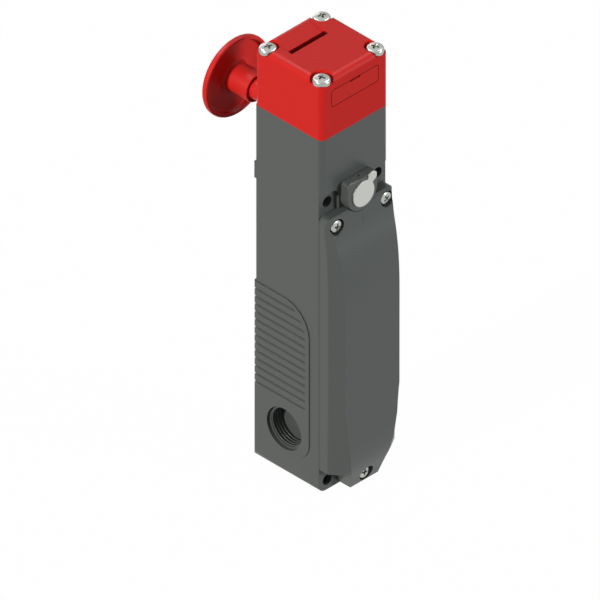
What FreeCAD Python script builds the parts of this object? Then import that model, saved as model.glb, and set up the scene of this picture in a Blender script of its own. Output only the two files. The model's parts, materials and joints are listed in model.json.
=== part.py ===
"""Tongue interlock switch with key release and escape release, as separate pieces.

Drawn with the housing's front in the plane Y = 0, its base at Z = 0 and depth along +Y, then placed so that
the origin is the centre of the four mounting holes on the back face, with the front facing -Y and +Z up.
"""
import FreeCAD, Part
import math
import os
import re

import Sketcher

Vector = FreeCAD.Vector

sizes = {
    # housing
    "width": 40.0,
    "depth": 40.0,
    "housingHeight": 182.9,
    "edgeRadius": 2.5,
    "backEdgeRadius": 1.5,
    "baseRadius": 4.65,
    "sideWall": 3.0,
    "backWall": 2.7,
    "frontWall": 4.0,
    "topWall": 3.0,
    "floorThickness": 14.0,
    "padRaise": 0.5,
    "padHeight": 8.3,
    "padEdge": 0.4,
    "backCorner": 1.4,
    "lowerBackHeight": 91.8,
    # mounting holes
    "patternWidth": 30.0,
    "lowerHoleHeight": 5.0,
    "upperHoleDrop": 33.9,
    "patternHeight": "=housingHeight - upperHoleDrop - lowerHoleHeight",
    "holeRadius": 2.65,
    "pocketInner": 9.7,
    "pocketRise": 5.2,
    "pocketTop": "=housingHeight - upperHoleDrop + pocketRise",
    "pocketRadius": 3.5,
    # raised side panels and their grooves
    "panelRaise": 0.45,
    "panelFront": 7.2,
    "panelTopRadius": 15.0,
    "panelBottom": 12.6,
    "panelBottomRadius": 9.5,
    "grooveDrop": 4.1,
    "grooveTop": "=lowerBackHeight - grooveDrop",
    "groovePitch": 4.0,
    "grooveDepth": 1.3,
    "grooveMouth": 1.9,
    "grooveMargin": 2.3,
    # conduit entries
    "entryHeight": 23.9,
    "entryDepth": 22.0,
    "entryRadius": 9.25,
    "entryRecessRadius": 10.3,
    "entryRecess": 1.75,
    "entryBossRadius": 12.4,
    "entryBossLength": 6.0,
    "knockOut": 1.0,
    # cover
    "seatDepth": 1.7,
    "gasketThickness": 0.8,
    "gasketInset": 0.12,
    "coverDrop": 5.6,
    "coverTop": "=bossHeight - coverDrop",
    "coverBottom": 1.0,
    "coverCornerRadius": 3.5,
    "coverWall": 2.5,
    "earFront": 4.3,
    "earEdge": 1.2,
    "landHeight": 7.5,
    "footHalfWidth": 7.8,
    "footSplay": 10.3,
    "footRadius": 1.5,
    "footNotch": 9.9,
    "footNotchSide": 12.7,
    "coverScrewHalfSpacing": 14.75,
    "coverScrewDrop": 4.9,
    "coverScrewHeight": "=coverTop - coverScrewDrop",
    "footScrewHeight": 5.2,
    "coverScrewHead": 3.25,
    "coverScrewHeadHeight": 2.6,
    "coverScrewRadius": 1.95,
    "coverScrewLength": 8.8,
    "coverScrewRecess": 0.55,
    "screwPlay": 0.25,
    # stations of the cover: its height or its drop below the cover's top, the half width of the front face,
    # where the side wall ends and how far the face stands out
    "toeHeight": 1.2, "toeHalfWidth": 8.2, "toeEdge": 3.9, "toeOut": 5.1,
    "instepHeight": 6.0, "instepHalfWidth": 9.2, "instepEdge": 3.9, "instepOut": 7.1,
    "chinHeight": 13.0, "chinHalfWidth": 11.3, "chinEdge": 3.9, "chinOut": 9.5,
    "jawHeight": 20.0, "jawHalfWidth": 12.9, "jawEdge": 3.9, "jawOut": 10.4,
    "lowerFaceHeight": 31.0, "lowerFaceHalfWidth": 14.8, "lowerFaceEdge": 3.9, "lowerFaceOut": 10.5,
    "midFaceHeight": 46.0, "midFaceHalfWidth": 16.4, "midFaceEdge": 3.9, "midFaceOut": 10.2,
    "upperFaceDrop": 45.5, "upperFaceHeight": "=coverTop - upperFaceDrop",
    "upperFaceHalfWidth": 16.7, "upperFaceEdge": 3.9, "upperFaceOut": 10.2,
    "browDrop": 33.5, "browHeight": "=coverTop - browDrop",
    "browHalfWidth": 16.7, "browEdge": 3.8, "browOut": 9.8,
    "foreheadDrop": 25.5, "foreheadHeight": "=coverTop - foreheadDrop",
    "foreheadHalfWidth": 16.8, "foreheadEdge": 3.6, "foreheadOut": 8.9,
    "crownDrop": 18.5, "crownHeight": "=coverTop - crownDrop",
    "crownHalfWidth": 17.0, "crownEdge": 3.2, "crownOut": 7.6,
    "templeDrop": 12.5, "templeHeight": "=coverTop - templeDrop",
    "templeHalfWidth": 17.4, "templeEdge": 2.6, "templeOut": 6.0,
    "earLineDrop": 8.5, "earLineHeight": "=coverTop - earLineDrop",
    "earLineHalfWidth": 17.7, "earLineEdge": 2.0, "earLineOut": 4.6,
    "faceEdgeRadius": 0.8,
    "flangeEdgeRadius": 1.6,
    # release boss, key lock and shutter
    "bossDrop": 22.9,
    "bossHeight": "=escapeHeight - bossDrop",
    "bossRadius": 8.7,
    "bossRise": 8.0,
    "bossTop": "=bossHeight + bossRise",
    "bossFront": 4.7,
    "bossCornerRadius": 1.8,
    "bossEdge": 0.5,
    "bossGap": 0.2,
    "sealHoleRadius": 0.6,
    "sealHoleDepth": 2.5,
    "barrelRadius": 6.0,
    "barrelSetback": 0.4,
    "barrelRear": 14.0,
    "plugRadius": 4.25,
    "plugSetback": 0.3,
    "keySlotHalf": 0.8,
    "keySlotHeight": 3.2,
    "keySlotDepth": 10.0,
    "lockNutRadius": 8.5,
    "lockNutThickness": 3.0,
    "releaseCamRadius": 4.0,
    "releaseCamReach": 7.5,
    "releaseCamThickness": 2.0,
    "releaseCamGap": 0.4,
    "tailRadius": 2.0,
    "shutterRadius": 6.25,
    "shutterThickness": 0.8,
    "shutterGap": 0.05,
    "shutterEdge": 0.2,
    "tabRadius": 2.35,
    "tabRight": 5.3,
    "tabUp": 6.5,
    "tabFillet": 0.8,
    "rivetRadius": 0.9,
    # head
    "headHeight": 30.4,
    "headTopRadius": 3.6,
    "headScrewInset": 4.0,
    "headScrewSeat": 27.3,
    "headScrewRecess": 5.0,
    "headScrewHead": 4.0,
    "headScrewHeadHeight": 2.8,
    "headScrewRadius": 2.0,
    "headScrewBite": 10.0,
    "headCavityRoof": 24.1,
    "headGasketThickness": 1.0,
    "headGasketWidth": 2.2,
    "slotWidth": 22.2,
    "slotGap": 3.0,
    "slotShift": -2.3,
    "slotLead": 0.6,
    "slotPitch": 5.8,
    "plugHalfWidth": 14.0,
    "plugHeight": 8.5,
    "plugThickness": 3.0,
    "plugCorner": 1.0,
    "plugGap": 0.2,
    "plugRib": 5.0,
    "pryNotchHalf": 3.1,
    "pryNotchHeight": 0.9,
    # cam wheel
    "camDepth": 20.0,
    "camRise": 13.6,
    "camHeight": "=housingHeight + camRise",
    "camRadius": 9.5,
    "camWidth": 13.0,
    "camTrack": 4.0,
    "camClearance": 0.9,
    "camStep": 2.0,
    "camTurn": 60.0,
    "camLift": 4.0,
    "camEccentric": 7.9,
    "camNotchHalf": 2.2,
    "camNotchDepth": 4.3,
    "axleRadius": 2.0,
    "axleSeat": 3.5,
    "runningFit": 0.05,
    # push rod, lock pin and guide
    "guideHalfDepth": 5.5,
    "guideOverhang": 2.7,
    "guideHeight": 6.0,
    "rodThickness": 2.4,
    "rodWidth": 2.9,
    "rodGap": 0.5,
    "rodSlack": 0.15,
    "rodOuter": 16.4,
    "armThickness": 3.0,
    "armSlack": 0.5,
    "armHeight": "=armRoomTop - camLift - armThickness - armSlack",
    "pinRadius": 2.5,
    "pinNoseRadius": 1.8,
    "pinNoseLength": 5.6,
    "pinGap": 0.4,
    "collarRadius": 4.5,
    "collarDrop": 6.5,
    "collarTop": "=escapeHeight - collarDrop",
    "collarThickness": 3.5,
    # solenoid
    "coreRadius": 3.95,
    "springRoom": 14.0,
    "yokeBottom": "=sliderTop + springRoom",
    "armGap": 2.5,
    "yokeTop": "=armHeight - armGap",
    "coreSet": 0.3,
    "coreBottom": "=yokeBottom + coreSet",
    "yokePlate": 3.0,
    "yokeHalfWidth": 11.6,
    "coilRadius": 11.2,
    "windingRadius": 10.4,
    "bobbinFlange": 2.0,
    "bobbinBore": 4.5,
    "springWire": 0.4,
    "springRadius": 4.0,
    "springTurns": 5,
    "springSteps": 12,
    # contacts
    "blockBottom": 45.0,
    "blockHeight": 31.5,
    "blockTop": "=blockBottom + blockHeight",
    "blockFront": 8.0,
    "blockHalfGap": 0.4,
    "blockWidth": 15.8,
    "sliderRise": 1.5,
    "sliderTop": "=blockTop + sliderRise",
    "sliderLength": 20.0,
    "sliderHalfWidth": 2.0,
    "sliderHalfDepth": 4.0,
    "sliderPlay": 0.3,
    "footThickness": 2.5,
    "followerHalfDepth": 3.0,
    "followerLeft": 3.0,
    "terminalSpacing": 8.0,
    "terminalEdge": 6.0,
    "terminalHead": 2.75,
    "terminalHeadHeight": 2.0,
    "terminalRadius": 1.5,
    "terminalLength": 5.0,
    # chassis and earth
    "chassisThickness": 1.2,
    "chassisHalfWidth": 16.0,
    "chassisMargin": 2.0,
    "chassisBottom": "=blockBottom - chassisMargin",
    "chassisTop": "=yokeTop + chassisMargin",
    "chassisScrewGap": 6.0,
    "chassisScrewLow": "=sliderTop + chassisScrewGap",
    "chassisScrewLowSide": 10.0,
    "chassisScrewDrop": 7.0,
    "chassisScrewHigh": "=yokeTop - chassisScrewDrop",
    "chassisScrewHighSide": 14.1,
    "chassisScrewHead": 2.3,
    "chassisScrewHeadHeight": 1.8,
    "chassisScrewRadius": 1.25,
    "backScrewBite": 2.0,
    "earthDrop": 3.5,
    "earthHeight": "=chassisBottom - earthDrop",
    "earthHead": 3.0,
    "earthHeadHeight": 2.5,
    "earthRadius": 1.75,
    # escape release
    "escapeDrop": 10.9,
    "escapeHeight": "=housingHeight - escapeDrop",
    "escapeRodRadius": 5.0,
    "guideTubeRadius": 7.1,
    "guideTubeEnd": 52.3,
    "guideTubeEdge": 0.6,
    "guideSpigotRadius": 6.0,
    "sealGroove": 1.1,
    "sealWidth": 2.0,
    "sealPlay": 0.1,
    "knobRadius": 18.95,
    "knobSleeve": 6.75,
    "knobWaist": 6.8,
    "knobNear": 58.4,
    "knobRimNear": 69.85,
    "knobRimFar": 73.0,
    "knobDish": 2.3,
    "knobRim": 1.7,
    "knobDome": 1.0,
    "knobFillet": 1.6,
    "knobBoreDepth": 11.0,
    "forkTip": 22.0,
    "forkLength": 12.0,
    "forkGap": 3.0,
    "forkHalfHeight": 2.0,
    "clipRadius": 6.8,
    "clipThickness": 1.0,
    "clipGroove": 0.6,
    "clipGap": 0.1,
    # cavities
    "upperCavityHalfWidth": 12.0,
    "waistCavityHalfWidth": 9.7,
    "pocketWall": 1.8,
    "waistTop": "=pocketTop + pocketWall",
    "armRoomFront": 14.0,
    "armRoof": 2.5,
    "armRoomTop": "=coverTop - armRoof",
}

doc = FreeCAD.newDocument("TongueInterlockSwitch")
sheet = doc.addObject("Spreadsheet::Sheet", "sizes")
for row, name in enumerate(sizes, start=1):
    sheet.set(f"A{row}", name)
    sheet.setAlias(f"B{row}", name)
for row, size in enumerate(sizes.values(), start=1):
    sheet.set(f"B{row}", str(size))
doc.recompute()

nodes = []


def bound(expression):
    """The expression with each size's name pointed at its cell."""
    return re.sub(r"[A-Za-z]\w*", lambda word: "sizes." + word.group()
                  if word.group() in sizes else word.group(), str(expression))


def value(expression):
    return float(sheet.evalExpression(bound(expression)))


def bind(thing, prop, expression):
    thing.setExpression(prop, bound(expression))


def place(thing, label, x="0", y="0", z="0"):
    """Names a finished piece and puts its own origin at a place measured from the housing's front base."""
    thing.Label = label
    bind(thing, "Placement.Base.x", x)
    bind(thing, "Placement.Base.y", f"({y}) - depth - padRaise")
    bind(thing, "Placement.Base.z", f"({z}) - lowerHoleHeight - patternHeight / 2")
    nodes.append(thing)
    return thing


# ---- bodies made from sketches ----

def newBody(name):
    return doc.addObject("PartDesign::Body", name + "Body")


def newSketch(body, name, plane, at="0"):
    """A sketch on XY, XZ or YZ, moved to the coordinate `at` along the third axis."""
    sketch = body.newObject("Sketcher::SketchObject", name)
    origin = next(f for f in body.Origin.OriginFeatures if f.Role == plane + "_Plane")
    sketch.AttachmentSupport = (origin, [""])
    sketch.MapMode = "FlatFace"
    bind(sketch, "AttachmentOffset.Base.z", f"-({at})" if plane == "XZ" else at)
    sketch.addProperty("App::PropertyString", "Plane")
    sketch.Plane = plane
    return sketch


def pin(sketch, element, point, across, up):
    """Holds one point of a sketch at two bound distances from the sketch's origin."""
    for kind, expression in (("DistanceX", across), ("DistanceY", up)):
        number = sketch.addConstraint(
            Sketcher.Constraint(kind, -1, 1, element, point, value(expression)))
        bind(sketch, f"Constraints[{number}]", expression)


def circle(sketch, across, up, radius):
    center = Vector(value(across), value(up), 0)
    element = sketch.addGeometry(Part.Circle(center, Vector(0, 0, 1), value(radius)))
    pin(sketch, element, 3, across, up)
    number = sketch.addConstraint(Sketcher.Constraint("Radius", element, value(radius)))
    bind(sketch, f"Constraints[{number}]", radius)


def outline(sketch, corners):
    """A closed outline through corners (across, up) or (across, up, radius), in order."""
    places = [Vector(value(c[0]), value(c[1]), 0) for c in corners]
    count = len(corners)
    ends = []
    for i, corner in enumerate(corners):
        here = places[i]
        before = (places[i - 1] - here).normalize()
        after = (places[(i + 1) % count] - here).normalize()
        cut = 0.0
        if len(corner) == 3:
            cut = value(corner[2]) / math.tan(before.getAngle(after) / 2)
        ends.append((here + before * cut, here + after * cut, before, after))
    lines = []
    for i in range(count):
        start, end = ends[i][1], ends[(i + 1) % count][0]
        lines.append(sketch.addGeometry(Part.LineSegment(start, end)))
    for i, corner in enumerate(corners):
        come, leave = lines[i - 1], lines[i]
        if len(corner) == 2:
            sketch.addConstraint(Sketcher.Constraint("Coincident", come, 2, leave, 1))
            pin(sketch, leave, 1, corner[0], corner[1])
            continue
        first, last, before, after = ends[i]
        radius = value(corner[2])
        middle = (before + after).normalize()
        center = places[i] + middle * (radius / math.sin(before.getAngle(after) / 2))
        convex = before.cross(after).z < 0
        start, end = (first, last) if convex else (last, first)
        angles = [math.atan2((p - center).y, (p - center).x) for p in (start, end)]
        round_ = Part.Circle(center, Vector(0, 0, 1), radius)
        arc = sketch.addGeometry(Part.ArcOfCircle(round_, *angles))
        joins = (1, 2) if convex else (2, 1)
        sketch.addConstraint(Sketcher.Constraint("Tangent", come, 2, arc, joins[0]))
        sketch.addConstraint(Sketcher.Constraint("Tangent", arc, joins[1], leave, 1))
        number = sketch.addConstraint(Sketcher.Constraint("Radius", arc, radius))
        bind(sketch, f"Constraints[{number}]", corner[2])
        point = sketch.addGeometry(Part.Point(places[i]), True)
        pin(sketch, point, 1, corner[0], corner[1])
        sketch.addConstraint(Sketcher.Constraint("PointOnObject", point, 1, come))
        sketch.addConstraint(Sketcher.Constraint("PointOnObject", point, 1, leave))


def rectangle(sketch, left, right, bottom, top, radius=None):
    spots = ((left, bottom), (right, bottom), (right, top), (left, top))
    outline(sketch, [spot + ((radius,) if radius else ()) for spot in spots])


def extrude(body, kind, sketch, length, along):
    """A pad or pocket that runs from the sketch towards +1 or -1 of its third axis."""
    feature = body.newObject("PartDesign::" + kind, sketch.Name + kind)
    feature.Profile = sketch
    bind(feature, "Length", length)
    normal = -1 if sketch.Plane == "XZ" else 1
    usual = normal if kind == "Pad" else -normal
    feature.Reversed = along != usual
    sketch.Visibility = False
    return feature


def grow(body, sketch, length, along=1):
    return extrude(body, "Pad", sketch, length, along)


def sink(body, sketch, length, along=1):
    return extrude(body, "Pocket", sketch, length, along)


def turn(body, sketch):
    """Revolves a sketch of (radius, place along the axis) about its upright axis."""
    feature = body.newObject("PartDesign::Revolution", sketch.Name + "Turned")
    feature.Profile = sketch
    feature.ReferenceAxis = (sketch, ["V_Axis"])
    feature.Angle = 360
    return feature


def edges(feature, x=None, y=None, z=None, kind=None):
    """Names of the edges whose every vertex lies at one of the given places, by size only on X."""
    names = []
    for number, edge in enumerate(feature.Shape.Edges, start=1):
        spots = [v.Point for v in edge.Vertexes]
        if len(spots) < 1 or (kind and edge.Curve.TypeId != kind):
            continue
        tests = ((x, [abs(p.x) for p in spots]), (y, [p.y for p in spots]), (z, [p.z for p in spots]))
        if all(wanted is None or all(any(abs(at - value(w)) < 1e-4 for w in wanted) for at in found)
               for wanted, found in tests):
            names.append(f"Edge{number}")
    return names


def dress(body, kind, name, size, names):
    """A fillet or chamfer on edges of the body's last feature."""
    feature = body.newObject("PartDesign::" + kind, name)
    feature.Base = (body.Tip if body.Tip != feature else feature.BaseFeature, names)
    bind(feature, "Radius" if kind == "Fillet" else "Size", size)
    body.Tip = feature
    doc.recompute()
    return feature


def turned(label, plane, corners, x="0", y="0", z="0"):
    body = newBody(label)
    sketch = newSketch(body, label + "Profile", plane)
    outline(sketch, corners)
    turn(body, sketch)
    return place(body, label, x, y, z)


# ---- plain solids ----

axisTurn = {
    "+Z": FreeCAD.Rotation(),
    "-Z": FreeCAD.Rotation(Vector(1, 0, 0), 180),
    "+X": FreeCAD.Rotation(Vector(0, 1, 0), 90),
    "-X": FreeCAD.Rotation(Vector(0, 1, 0), -90),
    "+Y": FreeCAD.Rotation(Vector(1, 0, 0), -90),
    "-Y": FreeCAD.Rotation(Vector(1, 0, 0), 90),
}


def move(thing, x, y, z):
    for axis, expression in zip("xyz", (x, y, z)):
        bind(thing, "Placement.Base." + axis, expression)


def block(name, left, right, front, back, bottom, top):
    thing = doc.addObject("Part::Box", name)
    bind(thing, "Length", f"({right}) - ({left})")
    bind(thing, "Width", f"({back}) - ({front})")
    bind(thing, "Height", f"({top}) - ({bottom})")
    move(thing, left, front, bottom)
    return thing


def rod(name, axis, x, y, z, radius, length):
    thing = doc.addObject("Part::Cylinder", name)
    thing.Placement.Rotation = axisTurn[axis]
    bind(thing, "Radius", radius)
    bind(thing, "Height", length)
    move(thing, x, y, z)
    return thing


def joined(name, things):
    thing = doc.addObject("Part::MultiFuse", name)
    thing.Shapes = things
    return thing


def cut(name, base, tools):
    thing = doc.addObject("Part::Cut", name)
    thing.Base = base
    thing.Tool = tools[0] if len(tools) == 1 else joined(name + "Tools", tools)
    return thing


def group(name, things):
    thing = doc.addObject("Part::Compound", name)
    thing.Links = things
    return thing


def screw(name, axis, x, y, z, head, headHeight, radius, length):
    """A screw whose head's underside is at the place and whose shank runs along the axis."""
    back = {"+": "-", "-": "+"}[axis[0]] + axis[1]
    return joined(name, [rod(name + "Head", back, x, y, z, head, headHeight),
                         rod(name + "Shank", axis, x, y, z, radius, length)])


# ---- housing ----

grooveCount = 13
roundedGrooves = 3
halfWidth = "width / 2"
holeSide = "patternWidth / 2"
upperHoleHeight = "(lowerHoleHeight + patternHeight)"
cavityBack = "depth - backWall"
landBottom = "coverTop - landHeight"
sides = (("left", -1), ("right", 1))
screwSides = (("Left", f"-({halfWidth}) + headScrewInset"), ("Right", f"{halfWidth} - headScrewInset"))
screwRows = (("Front", "headScrewInset"), ("Back", "depth - headScrewInset"))
guideLeft = "slotShift - camWidth / 2 - guideOverhang"
guideRight = "slotShift + camWidth / 2 + guideOverhang"


def coverCorner(sketch, side):
    """The corner that the cover and its gasket leave free round a lower mounting hole."""
    outer = f"{side} * width"
    corners = [(outer, "-1"), (f"{side} * footHalfWidth", "-1"),
               (f"{side} * footSplay", "footNotch", "footRadius"),
               (f"{side} * ({halfWidth})", "footNotchSide"), (outer, "footNotchSide")]
    outline(sketch, corners if side < 0 else corners[::-1])


slabFront = "depth + padRaise - backCorner - 0.6"


def addSidePanel(body, name, side):
    """A raised panel that runs out below its lower edge into a wedge, thickest at the back."""
    sketch = newSketch(body, name + "Panel", "YZ", f"{side} * ({halfWidth} - 1)")
    outline(sketch, [(slabFront, "panelBottom"), (slabFront, "lowerBackHeight"),
                     ("panelFront", "lowerBackHeight", "panelTopRadius"),
                     ("panelFront", "panelBottom", "panelBottomRadius")])
    grow(body, sketch, "1 + panelRaise", side)
    sketch = newSketch(body, name + "Wedge", "XY", "0")
    start = "panelFront + panelBottomRadius"
    corners = [(f"{side} * ({halfWidth} - 1)", start), (f"{side} * ({halfWidth})", start),
               (f"{side} * ({halfWidth} + panelRaise)", slabFront),
               (f"{side} * ({halfWidth} - 1)", slabFront)]
    outline(sketch, corners if side > 0 else corners[::-1])
    grow(body, sketch, "panelBottom + 0.5")


def roundedGrooveEnd(number):
    """Where a groove ends beside the panel's rounded top corner, on an arc about the same centre."""
    rise = f"(grooveTop - {number} * groovePitch - lowerBackHeight + panelTopRadius)"
    reach = "(panelTopRadius - grooveMargin)"
    return f"panelFront + panelTopRadius - sqrt({reach} * {reach} - {rise} * {rise})"


def addGrooves(body, name, side, first, last, end):
    """V-grooves cut in from the back edge, ending at the depth `end`."""
    sketch = newSketch(body, name, "XZ", "depth + padRaise")
    for number in range(first, last + 1):
        face = f"{side} * ({halfWidth} + panelRaise)"
        bottom = f"{side} * ({halfWidth} + panelRaise - grooveDepth)"
        middle = f"grooveTop - {number} * groovePitch"
        corners = [(face, f"{middle} - grooveMouth / 2"), (face, f"{middle} + grooveMouth / 2"),
                   (bottom, middle)]
        outline(sketch, corners if side > 0 else corners[::-1])
    sink(body, sketch, f"depth + padRaise - ({end})", -1)


def makeHousing():
    body = newBody("housing")
    sketch = newSketch(body, "housingSection", "XY")
    outline(sketch, [(f"-({halfWidth})", "0", "edgeRadius"), (halfWidth, "0", "edgeRadius"),
                     (halfWidth, "depth", "backEdgeRadius"), (f"-({halfWidth})", "depth", "backEdgeRadius")])
    grow(body, sketch, "housingHeight")

    sketch = newSketch(body, "lowerBack", "XY", "0")
    across = f"({halfWidth} + panelRaise)"
    outline(sketch, [(f"-{across}", slabFront), (across, slabFront),
                     (across, "depth + padRaise", "backCorner"),
                     (f"-{across}", "depth + padRaise", "backCorner")])
    grow(body, sketch, "lowerBackHeight")
    for name, side in sides:
        sketch = newSketch(body, name + "Pad", "XY", f"{upperHoleHeight} - padHeight / 2")
        corners = [(f"{side} * pocketInner", "depth - 2"), (f"{side} * ({halfWidth})", "depth - 2"),
                   (f"{side} * ({halfWidth})", "depth + padRaise", "padEdge"),
                   (f"{side} * pocketInner", "depth + padRaise")]
        outline(sketch, corners if side > 0 else corners[::-1])
        grow(body, sketch, "padHeight")
        addSidePanel(body, name, side)
        for number in range(roundedGrooves):
            addGrooves(body, f"{name}Groove{number}", side, number, number, roundedGrooveEnd(number))
        addGrooves(body, name + "Grooves", side, roundedGrooves, grooveCount - 1,
                   "panelFront + grooveMargin")

    sketch = newSketch(body, "baseCorners", "XZ", "-1")
    rectangle(sketch, "-width", "width", "-width", "housingHeight + 2 * width")
    rectangle(sketch, f"-{across}", across, "0", "housingHeight + width", "baseRadius")
    sink(body, sketch, "depth + padRaise + 2")

    sketch = newSketch(body, "seat", "XZ", "0")
    rectangle(sketch, "-width", "width", "-1", "coverTop")
    sink(body, sketch, "seatDepth")
    for name, side in sides:
        sketch = newSketch(body, name + "Pocket", "XZ", "0")
        inner, outer = f"{side} * pocketInner", f"{side} * width"
        corners = [(outer, "coverTop - 1"), (outer, "pocketTop"), (inner, "pocketTop", "pocketRadius"),
                   (inner, "coverTop - 1")]
        outline(sketch, corners if side > 0 else corners[::-1])
        sink(body, sketch, "seatDepth")

    sketch = newSketch(body, "bossRound", "XZ", "seatDepth + 1")
    circle(sketch, "0", "bossHeight", "bossRadius")
    grow(body, sketch, "seatDepth + 1 + bossFront", -1)
    sketch = newSketch(body, "bossShoulder", "XZ", "seatDepth + 1")
    outline(sketch, [("-bossRadius", "bossHeight"), ("bossRadius", "bossHeight"),
                     ("bossRadius", "bossTop", "bossCornerRadius"),
                     ("-bossRadius", "bossTop", "bossCornerRadius")])
    grow(body, sketch, "seatDepth + 1 + bossFront", -1)
    doc.recompute()
    dress(body, "Fillet", "bossRim", "bossEdge", edges(body.Tip, y=["-bossFront"]))

    sketch = newSketch(body, "mainCavity", "XZ", "seatDepth")
    inside = f"{halfWidth} - sideWall"
    rectangle(sketch, f"-({inside})", inside, "floorThickness", landBottom)
    sink(body, sketch, f"{cavityBack} - seatDepth")
    sketch = newSketch(body, "armRoom", "XZ", "armRoomFront")
    rectangle(sketch, f"-({inside})", inside, f"{landBottom} - 1", "armRoomTop")
    sink(body, sketch, f"{cavityBack} - armRoomFront")
    sketch = newSketch(body, "waistCavity", "XZ", "frontWall")
    rectangle(sketch, "-waistCavityHalfWidth", "waistCavityHalfWidth", f"{landBottom} - 1", "waistTop")
    sink(body, sketch, f"{cavityBack} - frontWall")
    sketch = newSketch(body, "upperCavity", "XZ", "frontWall")
    rectangle(sketch, "-upperCavityHalfWidth", "upperCavityHalfWidth", "waistTop - 0.5",
              "housingHeight - topWall")
    sink(body, sketch, f"{cavityBack} - frontWall")

    for name, side in sides:
        sketch = newSketch(body, name + "EntryBoss", "YZ", f"{side} * ({halfWidth} - sideWall / 2)")
        circle(sketch, "entryDepth", "entryHeight", "entryBossRadius")
        grow(body, sketch, "sideWall / 2 + entryBossLength", -side)
        sketch = newSketch(body, name + "Entry", "YZ", f"{side} * width")
        circle(sketch, "entryDepth", "entryHeight", "entryRadius")
        sink(body, sketch, "width / 2 + sideWall + entryBossLength - knockOut", -side)
        sketch = newSketch(body, name + "EntryRecess", "YZ", f"{side} * width")
        circle(sketch, "entryDepth", "entryHeight", "entryRecessRadius")
        sink(body, sketch, f"width / 2 - panelRaise + entryRecess", -side)
    sketch = newSketch(body, "bottomEntry", "XY", "-1")
    circle(sketch, "0", "entryDepth", "entryRadius")
    sink(body, sketch, "floorThickness + 2")
    sketch = newSketch(body, "bottomEntryRecess", "XY", "-1")
    circle(sketch, "0", "entryDepth", "entryRecessRadius")
    sink(body, sketch, "entryRecess + 1")

    sketch = newSketch(body, "mountingHoles", "XZ", "-1")
    for name, side in sides:
        for height in ("lowerHoleHeight", upperHoleHeight):
            circle(sketch, f"{side} * {holeSide}", height, "holeRadius")
    sink(body, sketch, "depth + padRaise + 2")

    sketch = newSketch(body, "coverScrewHoles", "XZ", "seatDepth - 1")
    for name, side in sides:
        circle(sketch, f"{side} * coverScrewHalfSpacing", "coverScrewHeight", "coverScrewRadius")
    circle(sketch, "0", "footScrewHeight", "coverScrewRadius")
    sink(body, sketch, "coverScrewLength + 1")

    sketch = newSketch(body, "barrelHole", "XZ", "-bossFront - 1")
    circle(sketch, "0", "bossHeight", "barrelRadius + runningFit")
    sink(body, sketch, "bossFront + frontWall + 2")
    sketch = newSketch(body, "rivetHole", "XZ", "-bossFront - 1")
    circle(sketch, "tabRight", "bossHeight + tabUp", "rivetRadius")
    sink(body, sketch, "bossFront")
    sketch = newSketch(body, "sealHole", "XY", "bossTop + 1")
    circle(sketch, "0", "-bossFront / 2", "sealHoleRadius")
    sink(body, sketch, "1 + sealHoleDepth", -1)

    sketch = newSketch(body, "guideOpening", "XY", "housingHeight + 1")
    rectangle(sketch, guideLeft, guideRight, "camDepth - guideHalfDepth", "camDepth + guideHalfDepth")
    sink(body, sketch, "topWall + 2", -1)
    sketch = newSketch(body, "headScrewHoles", "XY", "housingHeight + 1")
    for side, across in screwSides:
        for row, along in screwRows:
            circle(sketch, across, along, "headScrewRadius")
    sink(body, sketch, "headScrewBite + 1", -1)
    sketch = newSketch(body, "escapeHole", "XZ", "depth + 1")
    circle(sketch, "0", "escapeHeight", "guideSpigotRadius")
    sink(body, sketch, "backWall + 2", -1)
    sketch = newSketch(body, "backScrewHoles", "XZ", f"{cavityBack} - 1")
    for side, height, across in chassisScrewPlaces():
        circle(sketch, across, height, "chassisScrewRadius")
    sink(body, sketch, "1 + backScrewBite")
    sketch = newSketch(body, "earthHole", "XZ", f"{cavityBack} - 1")
    circle(sketch, "0", "earthHeight", "earthRadius")
    sink(body, sketch, "1 + backScrewBite")
    return place(body, "housing")


def chassisScrewPlaces():
    return [(name + row, height, f"{side} * {across}") for name, side in sides
            for row, height, across in (("Low", "chassisScrewLow", "chassisScrewLowSide"),
                                        ("High", "chassisScrewHigh", "chassisScrewHighSide"))]


# ---- cover ----

stations = ("toe", "instep", "chin", "jaw", "lowerFace", "midFace", "upperFace", "brow", "forehead",
            "crown", "temple", "earLine")
coverBack = "seatDepth - gasketThickness"


def coverLoft(body, kind, name, sections, rounds):
    """A ruled loft through sections of (height, face half width, side, side wall's end, out, back)."""
    profiles = []
    for number, (height, face, side, edge, out, back) in enumerate(sections):
        sketch = newSketch(body, f"{name}{number}", "XY", height)
        outline(sketch, [(f"-({side})", back), (f"-({side})", f"-({edge})", rounds[0]),
                         (f"-({face})", f"-({out})", rounds[1]), (face, f"-({out})", rounds[1]),
                         (side, f"-({edge})", rounds[0]), (side, back)])
        sketch.Visibility = False
        profiles.append(sketch)
    loft = body.newObject("PartDesign::" + kind, name)
    loft.Profile = profiles[0]
    loft.Sections = profiles[1:]
    loft.Ruled = True
    return loft


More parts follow.
